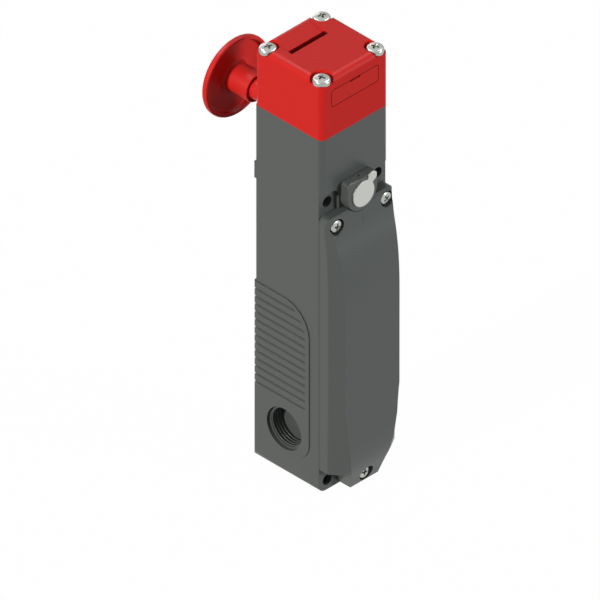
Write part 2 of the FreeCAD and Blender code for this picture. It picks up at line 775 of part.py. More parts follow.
def makeCover():
    body = newBody("cover")
    sections = [(name + "Height", name + "HalfWidth", halfWidth, name + "Edge", name + "Out", coverBack)
                for name in stations]
    sections[0] = ("coverBottom - 1",) + sections[0][1:]
    for height, out in (("coverTop - earEdge", "earFront"), ("coverTop", "earFront - earEdge")):
        sections.append((height, "earLineHalfWidth", halfWidth, "earLineEdge", out, coverBack))
    coverLoft(body, "AdditiveLoft", "coverShell", sections, ("flangeEdgeRadius", "faceEdgeRadius"))
    doc.recompute()
    hollow = [(name + "Height", name + "HalfWidth - coverWall", f"{halfWidth} - sideWall",
               name + "Edge - coverWall / 2", name + "Out - coverWall", f"{coverBack} + 1")
              for name in stations[3:-1]]
    coverLoft(body, "SubtractiveLoft", "coverHollow", hollow, ("faceEdgeRadius", "faceEdgeRadius"))
    doc.recompute()
    sketch = newSketch(body, "coverCorners", "XZ", "-width")
    rectangle(sketch, "-width", "width", "-width", "coverTop + width")
    rectangle(sketch, f"-({halfWidth})", halfWidth, "coverBottom", "coverTop", "coverCornerRadius")
    sink(body, sketch, "2 * width")
    for name, side in sides:
        sketch = newSketch(body, name + "FootCorner", "XZ", "-width")
        coverCorner(sketch, side)
        sink(body, sketch, "2 * width")
    sketch = newSketch(body, "bossRelief", "XZ", "-width")
    circle(sketch, "0", "bossHeight", "bossRadius + bossGap")
    sink(body, sketch, "2 * width")
    for name, x, z in coverScrewPlaces():
        sketch = newSketch(body, name + "Counterbore", "XZ", "-width")
        circle(sketch, x, z, "coverScrewHead + coverScrewRecess")
        sink(body, sketch, f"width - ({coverScrewSeat})")
        sketch = newSketch(body, name + "Clearance", "XZ", "-width")
        circle(sketch, x, z, "coverScrewRadius + screwPlay")
        sink(body, sketch, "2 * width")
    return place(body, "cover")


coverScrewSeat = "earFront - coverScrewHeadHeight"


def coverScrewPlaces():
    return (("leftScrew", "-coverScrewHalfSpacing", "coverScrewHeight"),
            ("rightScrew", "coverScrewHalfSpacing", "coverScrewHeight"),
            ("footScrew", "0", "footScrewHeight"))


def makeCoverGasket():
    body = newBody("coverGasket")
    sketch = newSketch(body, "gasketRing", "XZ", "seatDepth")
    edge = f"{halfWidth} - gasketInset"
    rectangle(sketch, f"-({edge})", edge, "coverBottom + gasketInset", "coverTop - gasketInset",
              "coverCornerRadius - gasketInset")
    inside = f"{halfWidth} - sideWall"
    rectangle(sketch, f"-({inside})", inside, "floorThickness", landBottom)
    grow(body, sketch, "gasketThickness", -1)
    for name, side in sides:
        sketch = newSketch(body, name + "GasketCorner", "XZ", "-1")
        coverCorner(sketch, side)
        sink(body, sketch, "seatDepth + 2")
    sketch = newSketch(body, "gasketRelief", "XZ", "-1")
    circle(sketch, "0", "bossHeight", "bossRadius + bossGap")
    for name, x, z in coverScrewPlaces():
        circle(sketch, x, z, "coverScrewRadius + screwPlay")
    sink(body, sketch, "seatDepth + 2")
    return place(body, "cover_gasket")


def makeCoverScrews():
    screws = [screw(name, "+Y", x, f"-({coverScrewSeat})", z, "coverScrewHead", "coverScrewHeadHeight",
                    "coverScrewRadius", "coverScrewLength")
              for name, x, z in coverScrewPlaces()]
    return place(group("coverScrews", screws), "cover_screws")


# ---- head ----

slotLeft = "slotShift - slotWidth / 2"
slotRight = "slotShift + slotWidth / 2"
plugMiddle = "camHeight + slotPitch"


def makeHead():
    body = newBody("head")
    sketch = newSketch(body, "headSection", "XY", "housingHeight")
    rectangle(sketch, f"-({halfWidth})", halfWidth, "0", "depth", "edgeRadius")
    grow(body, sketch, "headHeight")
    doc.recompute()
    top = "housingHeight + headHeight"
    sketch = newSketch(body, "headTopAcross", "XZ", "-1")
    rectangle(sketch, "-width", "width", "housingHeight - width", f"{top} + width")
    rectangle(sketch, f"-({halfWidth})", halfWidth, "housingHeight - width / 2", top, "headTopRadius")
    sink(body, sketch, "depth + 2")
    sketch = newSketch(body, "headTopAlong", "YZ", "-width")
    rectangle(sketch, "-width", "2 * width", "housingHeight - width", f"{top} + width")
    rectangle(sketch, "0", "depth", "housingHeight - width / 2", top, "headTopRadius")
    sink(body, sketch, "2 * width")
    sketch = newSketch(body, "headCavity", "XY", "housingHeight")
    rectangle(sketch, f"{slotLeft} - sealPlay", f"{slotRight} + sealPlay",
              "camDepth - camRadius - camClearance", "camDepth + camRadius + camClearance")
    sink(body, sketch, "headCavityRoof", 1)
    sketch = newSketch(body, "topSlot", "XY", f"{top} + 1")
    rectangle(sketch, slotLeft, slotRight, "camDepth + slotPitch - slotGap / 2",
              "camDepth + slotPitch + slotGap / 2")
    sink(body, sketch, "headHeight - headCavityRoof + 2", -1)
    sketch = newSketch(body, "slotLeadIn", "YZ", slotLeft)
    back = "depth - headTopRadius"
    outline(sketch, [("camDepth + slotPitch", f"{top} - slotLead"), (back, top), (back, f"{top} + 1"),
                     ("camDepth + slotPitch", f"{top} + 1")])
    sink(body, sketch, "slotWidth", 1)
    sketch = newSketch(body, "frontSlot", "XZ", "-1")
    rectangle(sketch, slotLeft, slotRight, f"{plugMiddle} - slotGap / 2", f"{plugMiddle} + slotGap / 2")
    sink(body, sketch, "camDepth - camRadius + 1")
    sketch = newSketch(body, "plugSeat", "XZ", "-1")
    rectangle(sketch, "-plugHalfWidth", "plugHalfWidth", f"{plugMiddle} - plugHeight / 2",
              f"{plugMiddle} + plugHeight / 2", "plugCorner")
    sink(body, sketch, "plugThickness + 1")
    for side, across in screwSides:
        for row, along in screwRows:
            sketch = newSketch(body, f"recess{side}{row}", "XY", f"{top} + 1")
            circle(sketch, across, along, "headScrewRecess")
            sink(body, sketch, "headHeight - headScrewSeat + 1", -1)
            sketch = newSketch(body, f"hole{side}{row}", "XY", f"{top} + 1")
            circle(sketch, across, along, "headScrewRadius + screwPlay")
            sink(body, sketch, "headHeight + 2", -1)
    sketch = newSketch(body, "axleSeats", "YZ", f"-({halfWidth}) + axleSeat")
    circle(sketch, "camDepth", "camHeight", "axleRadius")
    sink(body, sketch, "width - 2 * axleSeat")
    sketch = newSketch(body, "gasketSeat", "XY", "housingHeight")
    rectangle(sketch, *gasketOuter)
    sink(body, sketch, "headGasketThickness", 1)
    return place(body, "head")


gasketInner = (f"{slotLeft} - sealPlay", f"{slotRight} + sealPlay",
               "camDepth - camRadius - camClearance", "camDepth + camRadius + camClearance")
gasketOuter = (f"{gasketInner[0]} - headGasketWidth", f"{gasketInner[1]} + headGasketWidth",
               f"{gasketInner[2]} - headGasketWidth", f"{gasketInner[3]} + headGasketWidth")


def makeHeadGasket():
    bottom, top = "housingHeight", "housingHeight + headGasketThickness"
    ring = cut("headGasket", block("gasketPlate", *gasketOuter, bottom, top),
               [block("gasketWindow", *gasketInner, f"{bottom} - 1", f"{top} + 1")])
    return place(ring, "head_gasket")


def makeHeadScrews():
    screws = [screw(f"headScrew{side}{row}", "-Z", across, along, "housingHeight + headScrewSeat",
                    "headScrewHead", "headScrewHeadHeight", "headScrewRadius",
                    "headScrewSeat + headScrewBite")
              for side, across in screwSides for row, along in screwRows]
    return place(group("headScrews", screws), "head_screws")


def makeSlotPlug():
    body = newBody("slotPlug")
    sketch = newSketch(body, "plugFace", "XZ", "0")
    half = "plugHeight / 2 - plugGap"
    rectangle(sketch, "-plugHalfWidth + plugGap", "plugHalfWidth - plugGap", f"{plugMiddle} - ({half})",
              f"{plugMiddle} + {half}", "plugCorner - plugGap")
    grow(body, sketch, "plugThickness")
    sketch = newSketch(body, "plugRibSection", "XZ", "plugThickness")
    rectangle(sketch, f"{slotLeft} + plugGap", f"{slotRight} - plugGap",
              f"{plugMiddle} - slotGap / 2 + plugGap", f"{plugMiddle} + slotGap / 2 - plugGap")
    grow(body, sketch, "plugRib")
    sketch = newSketch(body, "pryNotch", "XZ", "0")
    rectangle(sketch, "-pryNotchHalf", "pryNotchHalf", f"{plugMiddle} + plugHeight / 2 - pryNotchHeight",
              f"{plugMiddle} + plugHeight / 2")
    sink(body, sketch, "plugThickness / 2")
    return place(body, "slot_plug")


def makeCamWheel():
    body = newBody("camWheel")
    left = "-camWidth / 2"
    sketch = newSketch(body, "camDisc", "YZ", left)
    circle(sketch, "0", "0", "camRadius")
    circle(sketch, "0", "0", "axleRadius + runningFit")
    grow(body, sketch, "camWidth")
    reach = "camRadius + 1"
    flank = "slotPitch - slotGap / 2"
    sketch = newSketch(body, "rearStep", "YZ", left)
    rectangle(sketch, flank, reach, "camStep", reach)
    sink(body, sketch, "camWidth")
    sketch = newSketch(body, "frontStep", "YZ", left)
    rectangle(sketch, f"-({reach})", "-camStep", flank, reach)
    sink(body, sketch, "camWidth")
    sketch = newSketch(body, "liftTrack", "YZ", left)
    circle(sketch, "-camLift * sin(60deg)", "-camLift * cos(60deg)", "camEccentric")
    circle(sketch, "0", "0", "camRadius + camLift")
    sink(body, sketch, "camTrack")
    sketch = newSketch(body, "lockNotch", "YZ", "-slotShift - camTrack / 2 - screwPlay")
    rectangle(sketch, "-camNotchHalf", "camNotchHalf", f"-({reach})", "-camRadius + camNotchDepth")
    first = sink(body, sketch, "camTrack + 2 * screwPlay")
    doc.recompute()
    pattern = body.newObject("PartDesign::PolarPattern", "lockNotches")
    pattern.Originals = [first]
    pattern.Axis = (sketch, ["N_Axis"])
    bind(pattern, "Angle", "camTurn")
    pattern.Occurrences = 2
    body.Tip = pattern
    return place(body, "cam_wheel", "slotShift", "camDepth", "camHeight")


def makeCamAxle():
    axle = rod("axle", "+X", f"-({halfWidth}) + axleSeat", "camDepth", "camHeight", "axleRadius",
               "width - 2 * axleSeat")
    return place(group("camAxle", [axle]), "cam_axle")


# ---- push rod, lock pin and guide ----

rodMiddle = "slotShift - camWidth / 2 + camTrack / 2"
rodRight = f"{rodMiddle} + rodWidth / 2 - 0.2"
rodLeft = f"{rodMiddle} - rodWidth / 2 - 0.2"
camBottom = "camHeight - (camLift / 2 + sqrt(camEccentric * camEccentric - 0.75 * camLift * camLift))"


def makePushRod():
    body = newBody("pushRod")
    sketch = newSketch(body, "rodShape", "XZ", "camDepth + rodThickness / 2")
    inner = "-rodOuter + armThickness"
    foot = "-blockHalfGap - blockWidth / 2 + sliderHalfWidth"
    outline(sketch, [("-rodOuter", "sliderTop"), (foot, "sliderTop"), (foot, "sliderTop + footThickness"),
                     (inner, "sliderTop + footThickness"), (inner, "armHeight"), (rodRight, "armHeight"),
                     (rodRight, f"{camBottom} - rodGap"), (rodLeft, f"{camBottom} - rodGap"),
                     (rodLeft, "armHeight + armThickness"), ("-rodOuter", "armHeight + armThickness")])
    grow(body, sketch, "rodThickness", -1)
    doc.recompute()
    tips = [name for name in edges(body.Tip, z=[f"{camBottom} - rodGap"])
            if abs(body.Tip.Shape.getElement(name).tangentAt(0).x) > 0.9]
    dress(body, "Fillet", "rodNose", "rodThickness / 2 - 0.02", tips)
    return place(body, "push_rod")


def makeLockPin():
    top = "camHeight - camRadius - pinGap"
    nose = f"{top} - pinNoseLength"
    return turned("lock_pin", "XZ", [
        ("0", "yokeTop"), ("pinRadius", "yokeTop"), ("pinRadius", "collarTop - collarThickness"),
        ("collarRadius", "collarTop - collarThickness"), ("collarRadius", "collarTop"),
        ("pinRadius", "collarTop"), ("pinRadius", nose), ("pinNoseRadius", nose),
        ("pinNoseRadius", f"{top} - 0.4"), ("pinNoseRadius - 0.4", top), ("0", top)], y="camDepth")


def makePlungerGuide():
    bottom, top = "housingHeight - guideHeight", "housingHeight"
    body = block("guideBlock", guideLeft, guideRight, "camDepth - guideHalfDepth",
                 "camDepth + guideHalfDepth", bottom, top)
    slot = block("guideSlot", f"{rodLeft} - rodSlack", f"{rodRight} + rodSlack",
                 "camDepth - rodThickness / 2 - rodSlack", "camDepth + rodThickness / 2 + rodSlack",
                 f"{bottom} - 1", f"{top} + 1")
    bore = rod("guideBore", "+Z", "0", "camDepth", f"{bottom} - 1", "pinRadius + runningFit",
               "guideHeight + 2")
    return place(cut("plungerGuide", body, [slot, bore]), "plunger_guide")


def makeSolenoid():
    front = "camDepth - yokeHalfWidth"
    back = f"{cavityBack} - chassisThickness"
    plates = [block("yokeLow", "-yokeHalfWidth", "yokeHalfWidth", front, back, "yokeBottom",
                    "yokeBottom + yokePlate"),
              block("yokeHigh", "-yokeHalfWidth", "yokeHalfWidth", front, back, "yokeTop - yokePlate",
                    "yokeTop"),
              block("yokeBack", "-yokeHalfWidth", "yokeHalfWidth", f"{back} - yokePlate", back,
                    "yokeBottom", "yokeTop")]
    bore = rod("yokeBore", "+Z", "0", "camDepth", "yokeBottom - 1", "coreRadius + 2 * runningFit",
               "yokeTop - yokeBottom + 2")
    place(cut("solenoidYoke", joined("yokePlates", plates), [bore]), "solenoid_yoke")
    low, high = "yokeBottom + yokePlate", "yokeTop - yokePlate"
    turned("solenoid_coil", "XZ", [
        ("bobbinBore", low), ("coilRadius", low), ("coilRadius", f"{low} + bobbinFlange"),
        ("windingRadius", f"{low} + bobbinFlange"), ("windingRadius", f"{high} - bobbinFlange"),
        ("coilRadius", f"{high} - bobbinFlange"), ("coilRadius", high), ("bobbinBore", high)], y="camDepth")
    turned("solenoid_core", "XZ", [
        ("0", "sliderTop"), ("pinRadius", "sliderTop"), ("pinRadius", "coreBottom"),
        ("coreRadius", "coreBottom"), ("coreRadius", "yokeTop"), ("0", "yokeTop")], y="camDepth")


def makeLockSpring():
    """A compression spring of short straight lengths between the yoke and the follower."""
    low, high = value("sliderTop + footThickness + springWire"), value("yokeBottom - springWire")
    turns, steps, radius = value("springTurns"), value("springSteps"), value("springRadius")
    count = int(turns * steps)
    path = doc.addObject("Part::Polygon", "springPath")
    path.Nodes = [Vector(radius * math.cos(2 * math.pi * i / steps), radius * math.sin(2 * math.pi * i / steps),
                         low + (high - low) * i / count) for i in range(count + 1)]
    wire = doc.addObject("Part::RegularPolygon", "springSection")
    wire.Polygon = 6
    bind(wire, "Circumradius", "springWire")
    wire.Placement.Rotation = axisTurn["-Y"]
    move(wire, "springRadius", "0", "sliderTop + footThickness + springWire")
    sweep = doc.addObject("Part::Sweep", "springSweep")
    sweep.Sections = [wire]
    sweep.Spine = (path, [])
    sweep.Solid = True
    sweep.Frenet = False
    sweep.Transition = "Right corner"
    return place(group("lockSpring", [sweep]), "lock_spring", y="camDepth")


def makeLockFollower():
    right = "blockHalfGap + blockWidth / 2 + followerHalfDepth"
    top = "sliderTop + footThickness"
    plate = block("followerPlate", "-followerLeft", right, "camDepth - followerHalfDepth",
                  "camDepth + followerHalfDepth", "sliderTop", top)
    bore = rod("followerBore", "+Z", "0", "camDepth", "sliderTop - 1", "pinRadius", "footThickness + 2")
    return place(cut("lockFollower", plate, [bore]), "lock_follower")


# ---- contact blocks ----

def terminalPlaces(side):
    middle = f"{side} * (blockHalfGap + blockWidth / 2)"
    return [(f"{column}{row}", f"{middle} + {column} * terminalSpacing / 2", height)
            for column in (-1, 1)
            for row, height in (("Low", "blockBottom + terminalEdge"), ("High", "blockTop - terminalEdge"))]


def makeContacts():
    screws = []
    for name, side in sides:
        near, far = f"{side} * blockHalfGap", f"{side} * (blockHalfGap + blockWidth)"
        left, right = (near, far) if side > 0 else (far, near)
        middle = f"{side} * (blockHalfGap + blockWidth / 2)"
        case = block(name + "BlockCase", left, right, "blockFront", f"{cavityBack} - chassisThickness",
                     "blockBottom", "blockTop")
        well = block(name + "Well", f"{middle} - sliderHalfWidth - sliderPlay",
                     f"{middle} + sliderHalfWidth + sliderPlay", "camDepth - sliderHalfDepth - sliderPlay",
                     "camDepth + sliderHalfDepth + sliderPlay", "sliderTop - sliderLength - 1",
                     "blockTop + 1")
        holes = []
        for spot, x, z in terminalPlaces(side):
            label = f"{name}Terminal{spot}".replace("-", "n")
            holes.append(rod(label + "Hole", "+Y", x, "blockFront - 1", z, "terminalRadius",
                             "terminalLength + 1"))
            screws.append(screw(label, "+Y", x, "blockFront", z, "terminalHead", "terminalHeadHeight",
                                "terminalRadius", "terminalLength"))
        place(cut(name + "Block", case, [well] + holes), name + "_contact_block")
        slider = block(name + "SliderBar", f"{middle} - sliderHalfWidth", f"{middle} + sliderHalfWidth",
                       "camDepth - sliderHalfDepth", "camDepth + sliderHalfDepth",
                       "sliderTop - sliderLength", "sliderTop")
        place(group(name + "Slider", [slider]), name + "_contact_slider")
    place(group("terminalScrews", screws), "terminal_screws")


def makeChassis():
    front = f"{cavityBack} - chassisThickness"
    plate = block("chassisSheet", "-chassisHalfWidth", "chassisHalfWidth", front, cavityBack,
                  "chassisBottom", "chassisTop")
    holes = [rod("chassisHole" + name, "+Y", x, f"{front} - 1", z, "chassisScrewRadius",
                 "chassisThickness + 2")
             for name, z, x in chassisScrewPlaces()]
    place(cut("chassis", plate, holes), "chassis_plate")
    screws = [screw("chassisScrew" + name, "+Y", x, front, z, "chassisScrewHead", "chassisScrewHeadHeight",
                    "chassisScrewRadius", "chassisThickness + backScrewBite")
              for name, z, x in chassisScrewPlaces()]
    place(group("chassisScrews", screws), "chassis_screws")
    earth = screw("earth", "+Y", "0", cavityBack, "earthHeight", "earthHead", "earthHeadHeight",
                  "earthRadius", "backScrewBite")
    place(group("earthScrew", [earth]), "earth_screw")


# ---- key release ----

def makeKeyLock():
    front = "-bossFront + barrelSetback"
    turned("lock_barrel", "XY", [
        ("plugRadius + runningFit", front), ("barrelRadius", front), ("barrelRadius", "barrelRear"),
        ("plugRadius + runningFit", "barrelRear")], z="bossHeight")
    nut = cut("lockNut", rod("nutBlank", "+Y", "0", "frontWall", "bossHeight", "lockNutRadius",
                             "lockNutThickness"),
              [rod("nutBore", "+Y", "0", "frontWall - 1", "bossHeight", "barrelRadius",
                   "lockNutThickness + 2")])
    place(nut, "lock_nut")
    plug = joined("plugSolid", [
        rod("plugBar", "+Y", "0", "-bossFront + plugSetback", "bossHeight", "plugRadius",
            "bossFront - plugSetback + barrelRear + releaseCamGap"),
        rod("plugTail", "+Y", "0", "barrelRear", "bossHeight", "tailRadius",
            "releaseCamGap + releaseCamThickness + releaseCamGap")])
    slot = block("keySlot", "-keySlotHalf", "keySlotHalf", "-bossFront - 1", "-bossFront + keySlotDepth",
                 "bossHeight - keySlotHeight", "bossHeight + keySlotHeight")
    place(cut("keyPlug", plug, [slot]), "key_plug")
    start = "barrelRear + releaseCamGap"
    finger = block("camFinger", "-tailRadius", "tailRadius", start, f"{start} + releaseCamThickness",
                   "bossHeight", "bossHeight + releaseCamReach")
    disc = rod("camBlank", "+Y", "0", start, "bossHeight", "releaseCamRadius", "releaseCamThickness")
    bore = rod("camBore", "+Y", "0", f"{start} - 1", "bossHeight", "tailRadius", "releaseCamThickness + 2")
    place(cut("releaseCam", joined("camPlate", [disc, finger]), [bore]), "release_cam")


def shutterOutline(sketch):
    """A disc and a smaller pivot tab, blended by a concave arc on each side."""
    far = Vector(value("tabRight"), value("tabUp"), 0)
    span, along = far.Length, Vector(far).normalize()
    across = Vector(-along.y, along.x, 0)
    big, small, blend = value("shutterRadius"), value("tabRadius"), value("tabFillet")
    a, b = big + blend, small + blend
    reach = (a * a - b * b + span * span) / (2 * span)
    rise = math.sqrt(a * a - reach * reach)
    centers = [along * reach + across * rise, along * reach - across * rise]
    touchBig = [c * (big / a) for c in centers]
    touchSmall = [far + (c - far) * (small / b) for c in centers]

    def arc(center, radius, start, end):
        angles = [math.atan2((p - center).y, (p - center).x) for p in (start, end)]
        return sketch.addGeometry(Part.ArcOfCircle(Part.Circle(center, Vector(0, 0, 1), radius), *angles))

    disc = arc(Vector(), big, touchBig[0], touchBig[1])
    tab = arc(far, small, touchSmall[1], touchSmall[0])
    upper = arc(centers[0], blend, touchBig[0], touchSmall[0])
    lower = arc(centers[1], blend, touchSmall[1], touchBig[1])
    for one, end, other, start in ((disc, 1, upper, 1), (tab, 2, upper, 2), (tab, 1, lower, 1),
                                   (disc, 2, lower, 2)):
        sketch.addConstraint(Sketcher.Constraint("Tangent", one, end, other, start))
    for element, radius in ((disc, "shutterRadius"), (tab, "tabRadius"), (upper, "tabFillet"),
                            (lower, "tabFillet")):
        number = sketch.addConstraint(Sketcher.Constraint("Radius", element, value(radius)))
        bind(sketch, f"Constraints[{number}]", radius)
    pin(sketch, disc, 3, "0", "0")
    pin(sketch, tab, 3, "tabRight", "tabUp")


def makeShutter():
    body = newBody("keyShutter")
    sketch = newSketch(body, "shutterShape", "XZ", "-shutterGap")
    shutterOutline(sketch)
    grow(body, sketch, "shutterThickness", -1)
    doc.recompute()
    dress(body, "Chamfer", "shutterBevel", "shutterEdge",
          edges(body.Tip, y=["-shutterGap - shutterThickness"]))
    sketch = newSketch(body, "pivotHole", "XZ", "-width")
    circle(sketch, "tabRight", "tabUp", "rivetRadius + runningFit")
    sink(body, sketch, "2 * width")
    place(body, "key_shutter", "0", "-bossFront", "bossHeight")
    pivot = rod("rivetPin", "+Y", "tabRight", "-bossFront - shutterGap - shutterThickness",
                "bossHeight + tabUp", "rivetRadius", "shutterThickness + shutterGap + bossFront - 1")
    place(group("shutterRivet", [pivot]), "shutter_rivet")


# ---- escape release ----

def makeEscapeRelease():
    inside, outside = cavityBack, "depth"
    bore = "escapeRodRadius + runningFit"
    groove = "(depth + guideTubeEnd) / 2"
    turned("escape_guide", "XY", [
        (bore, inside), ("guideSpigotRadius", inside), ("guideSpigotRadius", outside),
        ("guideTubeRadius", outside), ("guideTubeRadius", "guideTubeEnd - guideTubeEdge"),
        ("guideTubeRadius - guideTubeEdge", "guideTubeEnd"), (bore, "guideTubeEnd"),
        (bore, f"{groove} + sealWidth / 2"), ("escapeRodRadius + sealGroove", f"{groove} + sealWidth / 2"),
        ("escapeRodRadius + sealGroove", f"{groove} - sealWidth / 2"), (bore, f"{groove} - sealWidth / 2")],
        z="escapeHeight")
    turned("escape_seal", "XY", [
        (bore, f"{groove} - sealWidth / 2 + sealPlay"),
        ("escapeRodRadius + sealGroove", f"{groove} - sealWidth / 2 + sealPlay"),
        ("escapeRodRadius + sealGroove", f"{groove} + sealWidth / 2 - sealPlay"),
        (bore, f"{groove} + sealWidth / 2 - sealPlay")], z="escapeHeight")

    body = newBody("escapeRod")
    clipBack = f"{inside} - clipGap"
    clipFront = f"{clipBack} - clipThickness"
    sketch = newSketch(body, "rodProfile", "XY")
    end = "knobNear + knobBoreDepth"
    outline(sketch, [("0", "forkTip"), ("escapeRodRadius", "forkTip"), ("escapeRodRadius", clipFront),
                     ("escapeRodRadius - clipGroove", clipFront), ("escapeRodRadius - clipGroove", clipBack),
                     ("escapeRodRadius", clipBack), ("escapeRodRadius", end), ("0", end)])
    turn(body, sketch)
    doc.recompute()
    sketch = newSketch(body, "forkSlot", "XY", "-width")
    rectangle(sketch, "-forkGap", "forkGap", "forkTip - 1", "forkTip + forkLength")
    sink(body, sketch, "2 * width")
    for name, side in (("upper", 1), ("lower", -1)):
        sketch = newSketch(body, name + "Flat", "YZ", "-width")
        near, far = f"{side} * forkHalfHeight", f"{side} * width"
        low, high = (near, far) if side > 0 else (far, near)
        rectangle(sketch, "forkTip - 1", "forkTip + forkLength", low, high)
        sink(body, sketch, "2 * width")
    place(body, "escape_rod", z="escapeHeight")

    disc = rod("clipDisc", "+Y", "0", clipFront, "escapeHeight", "clipRadius", "clipThickness")
    bore = rod("clipBore", "+Y", "0", f"{clipFront} - 1", "escapeHeight", "escapeRodRadius - clipGroove",
               "clipThickness + 2")
    place(cut("rodClip", disc, [bore]), "rod_clip")
    floor = "knobRimNear + knobDish"
    rim = "knobRadius - knobRim"
    turned("escape_knob", "XY", [
        ("0", end), ("escapeRodRadius", end), ("escapeRodRadius", "knobNear"),
        ("knobSleeve - 0.3", "knobNear"), ("knobSleeve", "knobNear + 0.4"),
        ("knobWaist", f"{floor} - knobFillet"),
        ("knobWaist + knobFillet", floor), (f"{rim} - knobDish / 3", floor), (rim, "knobRimNear"),
        ("knobRadius - 0.4", "knobRimNear"), ("knobRadius", "knobRimNear + 0.4"),
        ("knobRadius", "knobRimFar - knobDome"), ("knobRadius - knobDome", "knobRimFar"),
        (f"{rim} - knobDome", "knobRimFar + 0.35"), ("0", "knobRimFar + knobDome")], z="escapeHeight")


makeHousing()
makeCover()
makeCoverGasket()
makeCoverScrews()
makeHead()
makeHeadGasket()
makeHeadScrews()
makeSlotPlug()
makeCamWheel()
makeCamAxle()
makePushRod()
makeLockPin()
makePlungerGuide()
makeSolenoid()
makeLockSpring()
makeLockFollower()
makeContacts()
makeChassis()
makeKeyLock()
makeShutter()
makeEscapeRelease()
doc.recompute()

for thing in doc.Objects:
    if "Invalid" in thing.State or "Error" in thing.State:
        raise RuntimeError(f"{thing.Name} failed: {thing.State}")
os.makedirs("parts", exist_ok=True)
for piece in nodes:
    if piece.Shape.isNull() or not piece.Shape.isValid():
        raise RuntimeError(f"{piece.Label} has no valid shape")
    piece.Shape.exportStep(f"parts/{piece.Label}.step")
    box = piece.Shape.BoundBox
    print(f"{piece.Label:22s} {len(piece.Shape.Solids)} solids {piece.Shape.Volume:10.1f} mm3  "
          f"x {box.XMin:7.2f} {box.XMax:7.2f}  y {box.YMin:7.2f} {box.YMax:7.2f}  "
          f"z {box.ZMin:7.2f} {box.ZMax:7.2f}")
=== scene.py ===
import json
import math

import bmesh
import bpy
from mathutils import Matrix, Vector


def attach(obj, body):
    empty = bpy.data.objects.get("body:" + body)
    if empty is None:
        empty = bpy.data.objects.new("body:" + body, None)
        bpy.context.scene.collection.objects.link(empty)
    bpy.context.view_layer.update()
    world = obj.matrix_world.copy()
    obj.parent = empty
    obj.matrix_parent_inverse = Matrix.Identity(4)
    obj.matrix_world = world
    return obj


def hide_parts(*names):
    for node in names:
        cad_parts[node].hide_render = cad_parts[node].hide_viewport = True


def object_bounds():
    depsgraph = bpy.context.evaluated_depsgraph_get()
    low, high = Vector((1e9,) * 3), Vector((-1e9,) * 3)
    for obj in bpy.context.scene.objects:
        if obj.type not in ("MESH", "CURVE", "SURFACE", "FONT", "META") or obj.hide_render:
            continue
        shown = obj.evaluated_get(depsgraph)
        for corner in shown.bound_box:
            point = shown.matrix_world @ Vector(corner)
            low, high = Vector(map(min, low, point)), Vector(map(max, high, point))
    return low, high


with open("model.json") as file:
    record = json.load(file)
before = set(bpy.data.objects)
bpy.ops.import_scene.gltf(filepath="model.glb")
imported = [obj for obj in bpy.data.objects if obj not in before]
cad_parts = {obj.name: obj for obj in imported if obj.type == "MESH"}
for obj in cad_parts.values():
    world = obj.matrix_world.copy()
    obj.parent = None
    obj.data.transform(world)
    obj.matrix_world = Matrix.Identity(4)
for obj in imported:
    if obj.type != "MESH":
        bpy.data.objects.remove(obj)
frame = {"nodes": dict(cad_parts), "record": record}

scene = bpy.context.scene
nodes = frame["nodes"]
cadLow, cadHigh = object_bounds()
mm = 0.001
frontPlane = -40.5  # the housing's front face along Y, in mm

for name in ("Cube", "Light", "Camera"):
    if name in bpy.data.objects:
        bpy.data.objects.remove(bpy.data.objects[name])


def newGroup(name, inputs, outputs):
    tree = bpy.data.node_groups.new(name, "ShaderNodeTree")
    for label, kind, default in inputs:
        socket = tree.interface.new_socket(label, in_out="INPUT", socket_type=kind)
        socket.default_value = default
    for label, kind in outputs:
        tree.interface.new_socket(label, in_out="OUTPUT", socket_type=kind)
    return tree, tree.nodes.new("NodeGroupInput"), tree.nodes.new("NodeGroupOutput")


def add(tree, kind, links=(), **values):
    # values are properties of the node; links are (input, socket or plain value)
    node = tree.nodes.new(kind)
    for name, value in values.items():
        setattr(node, name, value)
    for place, source in links:
        if isinstance(source, bpy.types.NodeSocket):
            tree.links.new(source, node.inputs[place])
        else:
            node.inputs[place].default_value = source
    return node


def mathNode(tree, operation, first, second=0.0):
    return add(tree, "ShaderNodeMath", [(0, first), (1, second)], operation=operation).outputs[0]


